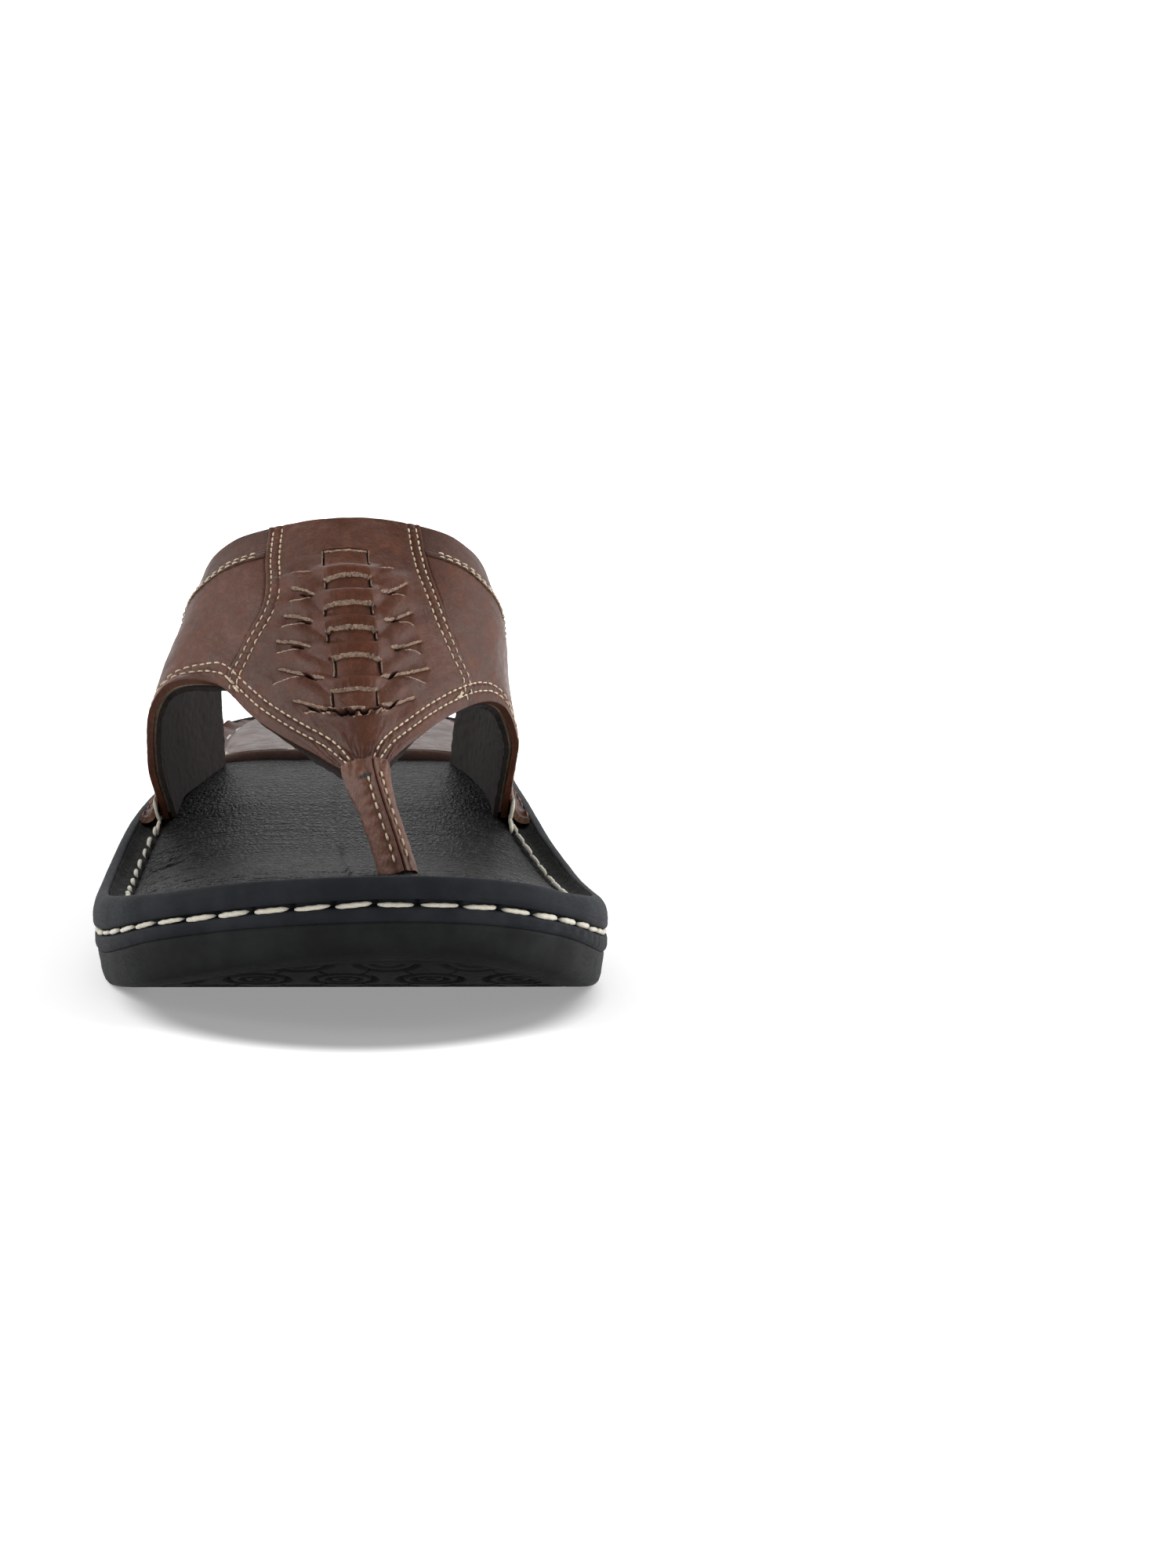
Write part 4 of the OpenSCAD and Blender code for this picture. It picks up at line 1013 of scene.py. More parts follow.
def build_heel_pad():
    M = 480
    P = pad_outline(0, M)
    T = np.roll(P, -1, 0) - np.roll(P, 1, 0); T /= np.linalg.norm(T, axis=1)[:, None]
    n = np.stack([-T[:, 1], T[:, 0]], 1)
    cen = np.column_stack([np.full(M, -2.2), np.clip(P[:, 1], 92, 118)])
    if np.sum((cen - P)*n) < 0:
        n = -n
    L = np.linalg.norm(cen - P, axis=1)
    K = 64; u = np.linspace(0, 1, K); f = (0.22*u + 0.78*u**2.0)*0.985
    rings = []
    groove_all = []
    for k in range(K):
        p = P*(1 - f[k]) + cen*f[k]; d = L*f[k]
        bev = np.sqrt(np.clip(1 - (1 - np.minimum(d/1.9, 1))**2, 0, 1))
        x, y = p[:, 0], p[:, 1]
        frontrow = sst(96, 84, P[:, 1])
        z = dome_h(x, y) - 0.35 + 2.45*bev + 0.55*(1 - np.exp(-d/9.0))
        z = z - 0.28*frontrow*gau(d - 2.1, 0.55)
        z = z + 0.1*fbm(x*0.06, y*0.12, 0, 81) - 0.12*np.clip(1 - np.abs(fbm(x*0.09, y*0.3, 0, 82))*3, 0, 1)**2*sst(2, 6, d)
        rings.append(np.column_stack([p, z])); groove_all.append(np.maximum(frontrow*gau(d - 2.1, 0.7)*0.5, 0.8*np.exp(-d/0.7)))
    low = [np.column_stack([r[:, :2], dome_h(r[:, 0], r[:, 1]) - 0.6]) for r in (rings[0], rings[20], rings[40], rings[-1])]
    allr = rings[::-1] + low
    R = np.asarray(allr); V = R.reshape(-1, 3); Q = gridq(len(allr), M, cv=True)
    q1, t1 = strip_fill(0, M); q2, t2 = strip_fill((len(allr)-1)*M, M, True)
    # painted shade in the front stitch groove, and burnish along the pad's edge
    burnish_and_painted_shade = np.concatenate(groove_all[::-1] + [np.ones(M)]*4)
    z0 = np.zeros(len(V))
    o = mk("heel_cushion", V, np.concatenate([Q, q1, q2]), np.concatenate([t1, t2]), [M_HEEL], sharp=60,
           attrs={"burnish_and_painted_shade": burnish_and_painted_shade, "raw": z0, "painted_shade_and_tone": z0, "pull": z0})
    orient(o); piece(o, ["heel_pad"])
    # stitch line along the front edge
    d = 2.1
    c = P + n*d
    i = arc_range(c[:, 1] < 83.5); c = c[i]
    if c[0, 0] > c[-1, 0]:
        c = c[::-1]
    z = dome_h(c[:, 0], c[:, 1]) - 0.35 + 2.45 + 0.55*(1 - math.exp(-d/9)) - 0.36
    Pl = np.column_stack([c, z]); Nn = np.tile(Z3, (len(c), 1))
    st = along(Pl, Nn, 3.1, 2.35, start=0.3, seed=23)
    stitch_piece("heel_pad_thread", st, M_TTH, ["heel_pad_stitch"], "trim_thread", r=0.26, lift=0.12, dip=0.4, sides=8, rings=11, twist=1.0, seed=10)


# ------------------------------------------------------------------ toe post
def post_path(u):
    """Centre of the toe post at share u from the footbed to under the vamp's tip."""
    a = np.array([10.5, -80.3, 20.5]); b = np.array([7.7, -75.8, 30.5]); c = np.array([4.1, -69.3, 37.4]); d = np.array([3.4, -63.6, 41.6])
    u = np.asarray(u)[:, None]
    return (1-u)**3*a + 3*u*(1-u)**2*b + 3*u*u*(1-u)*c + u**3*d


def build_post():
    m, n = 150, 144
    u = np.linspace(0, 1, m)
    C = post_path(u); T = np.gradient(C, axis=0); T /= np.linalg.norm(T, axis=1)[:, None]
    S = np.cross(T, np.array([0, -1.0, 0.35])); S /= np.linalg.norm(S, axis=1)[:, None]
    if S[0, 0] < 0:
        S = -S
    F = np.cross(S, T)
    if F[0, 1] > 0:
        F = -F
    th = np.linspace(-math.pi, math.pi, n, endpoint=False)       # 0 faces forward
    th = th + 0.35*np.sin(th*1.0)*-0.4
    hw = 3.95 + 0.95*sst(0.45, 0.95, u) - 0.12*gau(u - 0.3, 0.2); hd = 4.0 - 1.9*sst(0.6, 1.0, u)
    seam = 0.3 + 0.05*u
    ang = th[None, :] - seam[:, None]
    lat = np.sin(ang)*hw[:, None]; facing = (np.cos(ang) > 0)
    Lu = u*cum(C)[-1]
    r = np.ones((m, n))
    ridge = 0.5*gau(np.abs(lat) - 0.36, 0.34)*facing - 0.35*gau(lat, 0.12)*facing
    rows = -0.2*(gau(lat - 1.45, 0.3) + gau(lat + 1.45, 0.3))*facing
    puck = 0.11*np.cos(Lu[:, None]*2*math.pi/2.5)*(gau(np.abs(lat) - 2.2, 0.8))*facing
    wr = 0.08*fbm(th[None, :]*2.2, Lu[:, None]*0.5, 0, 91) + 0.05*fbm(th[None, :]*6, Lu[:, None]*1.4, 0, 92)
    gather = 0.16*np.cos(th[None, :]*13 + 2*np.sin(Lu[:, None]*0.4))*sst(0.62, 0.92, u)[:, None]
    disp = ridge + rows + puck + wr + gather
    X = np.sin(th)[None, :]*(hw[:, None] + disp); Y = np.cos(th)[None, :]*(hd[:, None] + disp)
    # a flat lens, not a pure oval, near the top
    V = C[:, None, :] + S[:, None, :]*X[..., None] + F[:, None, :]*Y[..., None]
    # darker along the seam and stitch rows (dark joints), and at the post's foot by the footbed (painted shade)
    burnish_and_painted_shade = (0.5*gau(lat, 0.25) + 0.35*(gau(lat - 1.45, 0.4) + gau(lat + 1.45, 0.4)))*facing
    burnish_and_painted_shade = burnish_and_painted_shade + 0.55*np.exp(-Lu[:, None]/3.5)
    # painted shade in the seam groove
    painted_shade_and_tone = 0.5*gau(lat, 0.09)*facing
    pull = 0.6*gau(np.abs(lat) - 3.0, 1.2)*facing + 0*Lu[:, None]
    G = V.reshape(-1, 3)
    Q = gridq(m, n, cv=True)
    caps = np.array([C[0], C[-1]])
    a = np.arange(n); b = (a + 1) % n
    Tn = np.concatenate([np.stack([np.full(n, m*n), a, b], 1), np.stack([np.full(n, m*n+1), (m-1)*n + b, (m-1)*n + a], 1)])
    ex = lambda q: np.concatenate([np.clip(q, 0, 1).ravel(), [0, 0]])
    o = mk("toe_post_leather", np.concatenate([G, caps]), Q, Tn, [M_POST], sharp=70,
           attrs={"burnish_and_painted_shade": ex(burnish_and_painted_shade), "painted_shade_and_tone": ex(painted_shade_and_tone), "pull": ex(pull), "raw": np.zeros(m*n + 2)})
    orient(o); piece(o, ["toe_post_cover"])
    # two stitch rows beside the seam
    paths = []
    for k, x0 in enumerate((-1.45, 1.45)):
        a = np.arcsin(np.clip(x0/hw, -1, 1)) + seam
        P = C + S*(np.sin(a)*(hw - 0.12))[:, None] + F*(np.cos(a)*(hd - 0.12))[:, None]
        Nn = S*np.sin(a)[:, None] + F*np.cos(a)[:, None]
        paths += along(P, Nn, 2.45, 1.75, start=2.2 + 0.8*k, stop=cum(P)[-1]*0.86, seed=31 + k)
    stitch_piece("toe_post_thread", paths, M_TTH, ["toe_post_stitch"], "trim_thread", r=0.23, lift=0.14, dip=0.36, sides=8, rings=9, twist=0.8, seed=32)
    return o


# ------------------------------------------------------------------ the upper
SC = 0.4975
FE = U(np.linspace(0, 1, 900), np.zeros(900))
V_EDGE = 0.0108


def to_edge(P, line, mask):
    """Distance from points P (only where mask holds) to a 3-D line; far value elsewhere."""
    out = np.full(P.shape[:-1], 99.0)
    Q = P[mask]
    d = np.empty(len(Q))
    for a in range(0, len(Q), 4000):
        d[a:a+4000] = np.sqrt(((Q[a:a+4000, None, :] - line[None])**2).sum(-1)).min(1)
    out[mask] = d
    return out


def sway(s, t):
    return 0.28*fbm(s*6.0, t*2.6, 0, 101, 2)*sst(0, 0.06, s)*sst(1, 0.94, s)


WIN = [  # top line, bottom line of each window across the vamp, local mm
 ([[-7.4,70.6],[-5.7,72.9],[.8,74.3],[5.8,72.6]], [[-5.7,66.3],[0,68.1],[5.7,66.7]]),
 ([[-5.5,59.9],[-3,61.9],[0,62.8],[3.2,62.3],[5.5,61]], [[-5.6,56.9],[0,58.4],[5.4,57.2]]),
 ([[-6.1,49.3],[-5,51.2],[.6,53.2],[4.5,52.2],[5.3,51.2]], [[-5.9,47.7],[0,49.7],[5.4,48.3]]),
 ([[-6,42.2],[-4.7,43.9],[-.5,45.3],[4,44.7],[5.6,43]], [[-5.9,39.4],[0,41.5],[5.7,40.2]]),
 ([[-5,34.6],[-2.4,36.5],[1.2,37.1],[4.4,35.5],[6.4,33.9]], [[-5.6,28.5],[0,31.1],[6.1,29.3]]),
 ([[-6.2,23.8],[-.8,26.4],[5.2,25.3]], [[-5.9,19.1],[0,21.3],[5.4,19.9]])]
SLIT = [[-8.6,16.3],[-5.3,17.6],[-1.2,19.3],[3.5,19.5],[7.8,17.7]]
PINCH = [(-8.9, 63.0, 8.6, 64.2), (-8.5, 53.9, 9.4, 54.1), (-9.3, 44.6, 9.8, 44.9), (-11.2, 35.6, 10.6, 35.2), (-9.2, 26.6, 8.2, 27.6), (-9.5, 15.9, 8.4, 17.8)]
UPS = [[[-13.1,55.5],[-10.4,55.3],[-7.8,54.3]], [[-15.3,45.6],[-12.2,45.5],[-8.6,45.1]], [[-17.7,36.4],[-13.5,36.5],[-9.3,36.3]],
       [[-18.2,26.6],[-13.5,26.2],[-7.1,27.3]], [[-15.6,15.9],[-11,16.7],[-7.1,17.6]],
       [[7.6,54.8],[11.1,54.7],[14.9,56.4]], [[7.7,45.5],[11.8,45],[15.9,46]], [[9.1,36.4],[13.8,35.2],[18.5,36]],
       [[5.9,28.7],[13.6,25.8],[20.9,25.7]], [[5.9,20],[11.6,16.9],[16.9,15.8]]]
LOS = [[[-13.4,61.6],[-8.6,63.2]], [[-13.4,50.5],[-10.9,51.5],[-8.9,53.4]], [[-15.9,41.5],[-12.7,42.7],[-10.6,44.1]],
       [[-17.7,32.2],[-14.4,33.6],[-12.4,34.7]], [[-20.1,20.1],[-16.1,23.1],[-12.8,25.4]], [[-13,12.8],[-11.4,14.6],[-10.2,15.4]],
       [[8.3,64.5],[11.9,63.7]], [[10.6,53.5],[14,52]], [[12.2,43.8],[14.3,42.7],[16.2,41.6]], [[13.5,33.7],[16,32.7],[18.1,31.5]],
       [[13.8,24.8],[17.1,22.1],[20,20]]]


def curve_y(pts, X):
    """Height of a stroke at X, how far along it X lies, and its slope factor."""
    p = np.asarray(pts, float); a, b = p[0, 0], p[-1, 0]
    xc = np.clip(X, a, b)
    if len(p) > 2:
        y = tab(p, xc)
    else:
        y = np.interp(xc, p[:, 0], p[:, 1])
    sl = (p[-1, 1] - p[0, 1]) / (b - a)
    over = np.maximum(a - X, 0) + np.maximum(X - b, 0)
    return y, over, 1 / math.sqrt(1 + sl*sl), np.minimum(X - a, b - X)


def weave(X, Y):
    """Height and colour values of the woven middle of the vamp, X across and Y up it, in mm; the gap value is painted
    shade in holes, slits and under the lips.
    """
    h = np.zeros_like(X); raw = np.zeros_like(X); painted_shade_and_tone = np.zeros_like(X); pull = np.zeros_like(X)
    j1 = 0.16*fbm(X*0.9, Y*0.25, 0, 201) + 0.07*fbm(X*2.6, Y*0.6, 0, 202)
    # the bars
    for k in range(6):
        bot = WIN[k][1]; top = WIN[k+1][0] if k < 5 else SLIT
        yb = curve_y(bot, X)[0]; yt = curve_y(top, X)[0]
        lx, ly, rx, ry = PINCH[k]
        py = np.where(X < 0, ly, ry); px = np.where(X < 0, -lx, rx)
        q = np.clip(np.abs(X)/px, 0, 1.6)
        g = sst(0.55, 1.0, q)
        mid = (yb + yt)/2*(1 - g) + py*g
        half = np.maximum((yb - yt)/2*(1 - 0.45*g), 1.2)
        v = (mid + half - Y) / (2*half)
        low = np.where(np.abs(X) < 5.9, 1 - sst(1.0, 1.04, v), 1 - sst(0.78, 1.3, v))
        bulge = sst(-0.3, 0.45, v)*low*(1 - 0.5*sst(0.5, 1.0, v))
        A = (1.35 if k else 1.0) * (1 - sst(0.45, 1.12, q))
        h = h + A*bulge; pull = np.maximum(pull, bulge*(1 - sst(0.5, 1.1, q))*0.8)
    # the windows: a sunken floor under the lip of the bar above, with painted shade in the side slits and under the
    # lips
    for k in range(6):
        top, bot = WIN[k]
        yt, _, _, _ = curve_y(top, X); yb = curve_y(bot, X)[0]
        xl, xr = (-5.7, 5.7) if k == 0 else (top[0][0] + 0.15, top[-1][0] - 0.1)
        xl, xr = xl + 0.05*np.sin(Y*0.9 + k), xr + 0.06*np.sin(Y*0.8 + 2*k)
        side = np.minimum(X - xl, xr - X)
        inx = sst(-0.14, 0.1, side)
        d = Y - yt + j1*0.6
        iny = (1 - sst(-0.13, 0.12, d))*sst(-1.3, 0.3, Y - yb)
        f = inx*iny
        floor = -0.62 + 0.45*sst(2.2, -0.5, Y - yb)
        h = h*(1 - f) + floor*f
        wl = (1 - sst(0.0, 0.16, np.abs(side - 0.02)))*(d < 0.1)*(Y > yb - 0.4)
        # painted shade in the narrow slit along each window side
        painted_shade_and_tone = np.maximum(painted_shade_and_tone, 0.95*(1 - sst(0.06, 0.34, np.abs(side - 0.13)))*(d < 0)*sst(-0.9, 0.2, Y - yb))
        raw = np.maximum(raw, 0.9*(1 - sst(0.05, 0.2, np.abs(side + 0.13)))*(d < -0.2)*sst(-0.6, 0.8, Y - yb))
        inside = sst(-0.5, 0.05, side)
        if k == 0:
            # a hole above the first window, painted dark as shade
            hole = (1 - sst(0.16, 0.36, np.abs(d - 0.22 + 0.1*fbm(X*1.4, 2.0, 0, 213))))*inside
            h = h - 0.9*hole; painted_shade_and_tone = np.maximum(painted_shade_and_tone, hole*1.0)
            h = h + 0.95*gau(d + 0.62, 0.5)*inside
            raw = np.maximum(raw, 0.95*(1 - sst(0.3, 0.46, np.abs(d + 0.55)))*inside)
        else:
            lip = sst(-0.12, 0.1, d)*np.exp(-np.maximum(d, 0)/2.1)*inside
            h = h + (0.12 + 0.1*fbm(X*1.2, 3.0*k, 0, 211))*lip
            raw = np.maximum(raw, 1.0*(1 - sst(0.13, 0.27, np.abs(d - 0.04 + 0.1*fbm(X*2.2, k, 0, 212))))*inside)
            # painted shadow just under each lip
            painted_shade_and_tone = np.maximum(painted_shade_and_tone, 0.8*gau(d + 0.5, 0.24)*inside)
    # angled cuts, with painted shadow below each
    for pts, sgn, amp in [(p, 1, 1.0) for p in UPS] + [(p, -1, 0.9) for p in LOS]:
        yc, over, cs, ins = curve_y(pts, X)
        d = (Y - yc)*cs*sgn + j1*0.5 + 0.0*over
        e = np.exp(-(over/0.55)**2)*sst(-0.2, 1.5, ins + 0.4)
        e = np.maximum(e, np.exp(-(over/0.4)**2)*0.25)
        hi = sst(-0.12, 0.1, d)*np.exp(-np.maximum(d, 0)/(2.0 if sgn > 0 else 1.3))
        lo = (1 - sst(-0.12, 0.1, d))*np.exp(np.minimum(d, 0)/1.7)
        h = h + e*amp*(0.5*hi - 0.36*lo)
        rw = (1 - sst(0.13, 0.27 if sgn > 0 else 0.3, np.abs(d + (0.03 if sgn > 0 else -0.2) + 0.07*fbm(X*1.8, Y*1.8, 0, 215))))
        raw = np.maximum(raw, rw*sst(0.12, 0.5, e))
        # painted shadow just below each cut
        painted_shade_and_tone = np.maximum(painted_shade_and_tone, 0.65*gau(d + 0.5, 0.24)*sst(0.2, 0.8, e)*(1 if sgn > 0 else 0.6))
    # holes where the cuts meet, painted dark as shade
    for k in range(1, 6):
        lx, ly, rx, ry = PINCH[k]
        for cx, cy, sg in ((lx - 1.4, ly - 0.25, 1), (rx + 1.5, ry - 0.35, -1)):
            r = np.hypot((X - cx)/1.5, (Y - cy)/0.55)
            hole = 1 - sst(0.55, 1.1, r + 0.15*fbm(X*1.5, Y*1.5, 0, 221))
            h = h - 0.9*hole; painted_shade_and_tone = np.maximum(painted_shade_and_tone, hole); raw = raw*(1 - hole)
    # bottom slit, its gap painted dark as shade
    yc, over, cs, ins = curve_y(SLIT, X)
    d = Y - yc + 0.3*fbm(X*0.7, Y*0.4, 0, 231) + 0.12*fbm(X*1.6, Y*0.9, 0, 232)
    e = np.exp(-(over/0.5)**2)
    gap = (1 - sst(0.2, 0.42, np.abs(d)))*e
    h = h - 0.75*gap; painted_shade_and_tone = np.maximum(painted_shade_and_tone, gap)
    fz = (1 - sst(0.2, 0.4, np.abs(d - 0.6)))*e*sst(-0.1, 0.35, fbm(X*0.9, Y*1.1, 0, 233)) + (1 - sst(0.16, 0.34, np.abs(d + 0.62)))*e*sst(0.1, 0.45, fbm(X*0.8, Y*1.0, 0, 234))
    raw = np.maximum(raw, fz)*(1 - gap)
    # slight swelling of the leather between the cuts, at the sides
    for k in range(5):
        y0 = (PINCH[k][1] + PINCH[k+1][1])/2
        h = h + 0.75*gau((Y - y0)/3.4, 1.0)*gau((np.abs(X) - 11.5)/5.5, 1.0)
        pull = np.maximum(pull, 0.55*gau((Y - y0)/3.2, 1.0)*gau((np.abs(X) - 11)/5.0, 1.0))
    return h, np.clip(raw, 0, 1), np.clip(painted_shade_and_tone, 0, 1), np.clip(pull, 0, 1)


def front_detail(df, s, t):
    """Edge rolling, stitch channels and puckers near the front edge; df = distance from it."""
    h = -0.17*(gau(df - 2.5, 0.42) + gau(df - 4.4, 0.42)) + 0.07*gau(df - 3.45, 0.5) + roundoff(df, 0.55)
    h = h + 0.06*np.cos(s*LS*2*math.pi/2.6)*gau(df - 3.4, 1.6)
    return h


def h_vamp(s, t, df=None, extra=False):
    X, Y = (s - SC)*LS, t*LT
    dl = (s - (tab(SL, t) - V_EDGE))*LS; dr = ((tab(SR, t) + V_EDGE) - s)*LS
    de = np.minimum(dl, dr)
    h = 0.2*(1 - sst(0.5, 4.0, de))
    for c in (-0.0046, 0.0046):
        h = h - 0.15*(gau((s - tab(SL, t) - c)*LS, 0.38) + gau((s - tab(SR, t) - c)*LS, 0.38))
    h = h + 0.05*np.cos(Y*2*math.pi/2.6)*gau(de - 2.2, 1.3)
    if df is None:
        df = np.full(np.shape(s), 99.0)
    h = h + front_detail(df, s, t)
    r = np.hypot(X, Y + 2.5); a = np.arctan2(Y + 2.5, X)
    h = h + (0.3*np.abs(np.cos(a*21 + 1.8*np.sin(r*0.45))) + 0.42*fbm(a*11, r*0.22, 0, 241) - 0.15)*gau(r/11.0, 1.0)*sst(0.8, 3.0, r)
    h = h + 0.11*fbm(X*0.16, Y*0.16, 0, 242) + 0.5*gau(X/13, 1.0)*sst(10, 22, Y)*(1 - sst(60, 76, Y))
    return h, de


def grid_piece(name, s, t, hfun, mat, node, low, rows=3, attrs=None, sharp=48):
    P = U(s, t); N = UN(np.clip(s, 0.002, 0.998), np.clip(t, 0.002, 0.998))
    P = P + N*sway(s, t)[..., None]
    df = to_edge(P, FE, t < 0.16)
    h, at_ = hfun(s, t, df)
    lo = low(s, t, df)
    A = P + N*h[..., None]; B = P + N*np.minimum(lo, h - 0.25)[..., None]
    V, Q, mask, L = shell(A, B, rows)
    mn = s.size; k = len(L)
    out = {}
    for key in ("raw", "burnish_and_painted_shade", "painted_shade_and_tone", "pull"):
        a = np.clip(at_.get(key, np.zeros_like(s)), 0, 1).ravel()
        rim = a[L]
        if key == "burnish_and_painted_shade":
            rim = np.maximum(rim, 0.45)
        out[key] = np.concatenate([a, np.zeros(mn)] + [rim]*(rows - 1))
    o = mk(name, V, Q, None, [mat], sharp=sharp, attrs=out)
    orient(o)
    return piece(o, [node])


def build_vamp():
    tl = np.concatenate([lines(11, 0.42)[:-5]*11, np.arange(11.0, 76.0, 0.2), 76 + lines(12, 0.42)[5:]*12]) / LT
    tl = np.unique(np.clip(tl, 0, 1))
    xc = np.arange(-12.5, 12.51, 0.2)
    w = lines(26, 0.45)[:-5]; w = w[w < 0.995]
    T, _ = np.meshgrid(tl, np.zeros(2 * len(w) + len(xc)), indexing="ij")
    l = tab(SL, tl) - V_EDGE; r = tab(SR, tl) + V_EDGE
    a, b = SC + xc[0]/LS, SC + xc[-1]/LS
    Sg = np.concatenate([l[:, None]*(1 - w) + a*w, np.repeat((SC + xc/LS)[None], len(tl), 0), (r[:, None]*(1 - w) + b*w)[:, ::-1]], 1)

    def hf(s, t, df):
        h, de = h_vamp(s, t, df)
        X, Y = (s - SC)*LS, t*LT
        wh, raw, painted_shade_and_tone, pull = weave(X, Y)
        h = h + wh + roundoff(de, 0.36) + roundoff((1 - t)*LT, 0.5)
        seam = sum(gau((s - tab(q, t) - c)*LS, 0.6) for q in (SL, SR) for c in (-0.0046, 0.0046))
        # burnish along the seams and the front edge; painted shade in the tip's wrinkle creases and in the valley down
        # the middle between the bars; darker round the V tip
        burnish_and_painted_shade = 0.22*seam + 0.2*(gau(df - 2.5, 0.6) + gau(df - 4.4, 0.6)) + 0.6*np.exp(-df/0.5) + 0.2*np.exp(-de/0.4)
        r = np.hypot(X, Y + 2.5); a = np.arctan2(Y + 2.5, X)
        burnish_and_painted_shade = burnish_and_painted_shade + 0.8*(1 - np.abs(np.cos(a*21 + 1.8*np.sin(r*0.45))))*gau(r/11.0, 1.0) + 0.7*gau(np.hypot(X, Y - 3)/10.0, 1.0) + 0.14*gau(X/13, 1.0)*(1 - pull)*sst(10, 18, Y)*(1 - sst(64, 74, Y))
        return h, {"raw": raw, "painted_shade_and_tone": painted_shade_and_tone, "pull": pull, "burnish_and_painted_shade": burnish_and_painted_shade}

    def low(s, t, df):
        de = np.minimum((s - (tab(SL, t) - V_EDGE))*LS, ((tab(SR, t) + V_EDGE) - s)*LS)
        return -0.85 - 0.65*sst(2.2, 4.5, de)
    return grid_piece("vamp_leather", Sg, T, hf, M_UP, "vamp_panel", low)


def build_quarter(side, name, node):
    m, n = 190, 130
    wl = lines(62, 0.5, (0.1, 0.25, 0.45, 0.7, 1.0)); ul = lines(75, 0.5, (0.1, 0.25, 0.45, 0.7, 1.0))
    Ug, Wg = np.meshgrid(ul, wl, indexing="ij")
    Tt = tab(TC, Ug)*Wg
    Ss = Ug*(tab(SL, Tt) + 0.004) if side < 0 else 1 - Ug*(1 - (tab(SR, Tt) - 0.004))

    def near(s, t):
        return ((tab(SL, t) - s) if side < 0 else (s - tab(SR, t)))*LS

    def hf(s, t, df):
        dv = near(s, t) - 2.2                      # from the vamp's edge outwards
        u = (s/tab(SL, t)) if side < 0 else (1 - s)/(1 - tab(SR, t))
        dc = (tab(TC, np.clip(u, 0, 1)) - t)*LT - 1.6
        h = -0.6*(1 - sst(-0.5, 0.1, dv)) - 0.5*(1 - sst(-0.4, 0.5, dc)) - 0.45*(1 - sst(-0.9, -0.3, dv))
        h = h + front_detail(df, s, t) + 0.1*fbm(s*30, t*13, 0, 261)
        # burnish along the stitch rows and the front edge; painted shade where the quarter runs under the vamp's edge
        # and under the collar
        burnish_and_painted_shade = 0.2*(gau(df - 2.5, 0.6) + gau(df - 4.4, 0.6)) + 0.6*np.exp(-df/0.5) + 0.25*np.exp(-np.maximum(dv, 0)/0.5) + 0.5*np.exp(-np.maximum(dc, 0)/0.5)
        return h, {"burnish_and_painted_shade": burnish_and_painted_shade}
    low = lambda s, t, df: np.full(np.shape(s), -1.5)
    return grid_piece(name, Ss, Tt, hf, M_UP, node, low)


def build_collar(side, name, node):
    wl = lines(24, 0.5, (0.1, 0.25, 0.45, 0.7)); ul = lines(80, 0.5, (0.1, 0.25, 0.45, 0.7, 1.0))
    Ug, Wg = np.meshgrid(ul, wl, indexing="ij")
    t0 = tab(TC, Ug) - 1.6/LT
    Tt = t0 + (1 - t0)*Wg
    Ss = Ug*(tab(SL, Tt) + 0.004) if side < 0 else 1 - Ug*(1 - (tab(SR, Tt) - 0.004))

    def hf(s, t, df):
        dv = ((tab(SL, t) - s) if side < 0 else (s - tab(SR, t)))*LS - 2.2
        u = (s/tab(SL, t)) if side < 0 else (1 - s)/(1 - tab(SR, t))
        tc = tab(TC, np.clip(u, 0, 1)); dc = (t - tc)*LT
        h = 0.25*(1 - sst(-0.6, 2.6, dc)) - 0.6*(1 - sst(-0.5, 0.1, dv)) - 0.45*(1 - sst(-0.9, -0.3, dv))
        h = h - 0.15*(gau(dc - 0.95, 0.38) + gau(dc + 0.95, 0.38)) + roundoff(dc + 1.6, 0.45) + roundoff((1 - t)*LT, 0.5)
        h = h + 0.08*fbm(s*30, t*14, 0, 271)
        # burnish along the stitch rows and the collar's lower edge; painted shade where the collar runs under the
        # vamp's edge
        burnish_and_painted_shade = 0.2*(gau(dc - 0.95, 0.6) + gau(dc + 0.95, 0.6)) + 0.5*np.exp(-(dc + 1.6)/0.5) + 0.6*np.exp(-np.maximum(dv, 0)/0.5)
        return h, {"burnish_and_painted_shade": burnish_and_painted_shade}

    def low(s, t, df):
        u = (s/tab(SL, t)) if side < 0 else (1 - s)/(1 - tab(SR, t))
        dc = (t - tab(TC, np.clip(u, 0, 1)))*LT
        return -0.5 - 1.0*sst(0.1, 1.2, dc)
    return grid_piece(name, Ss, Tt, hf, M_COL, node, low)


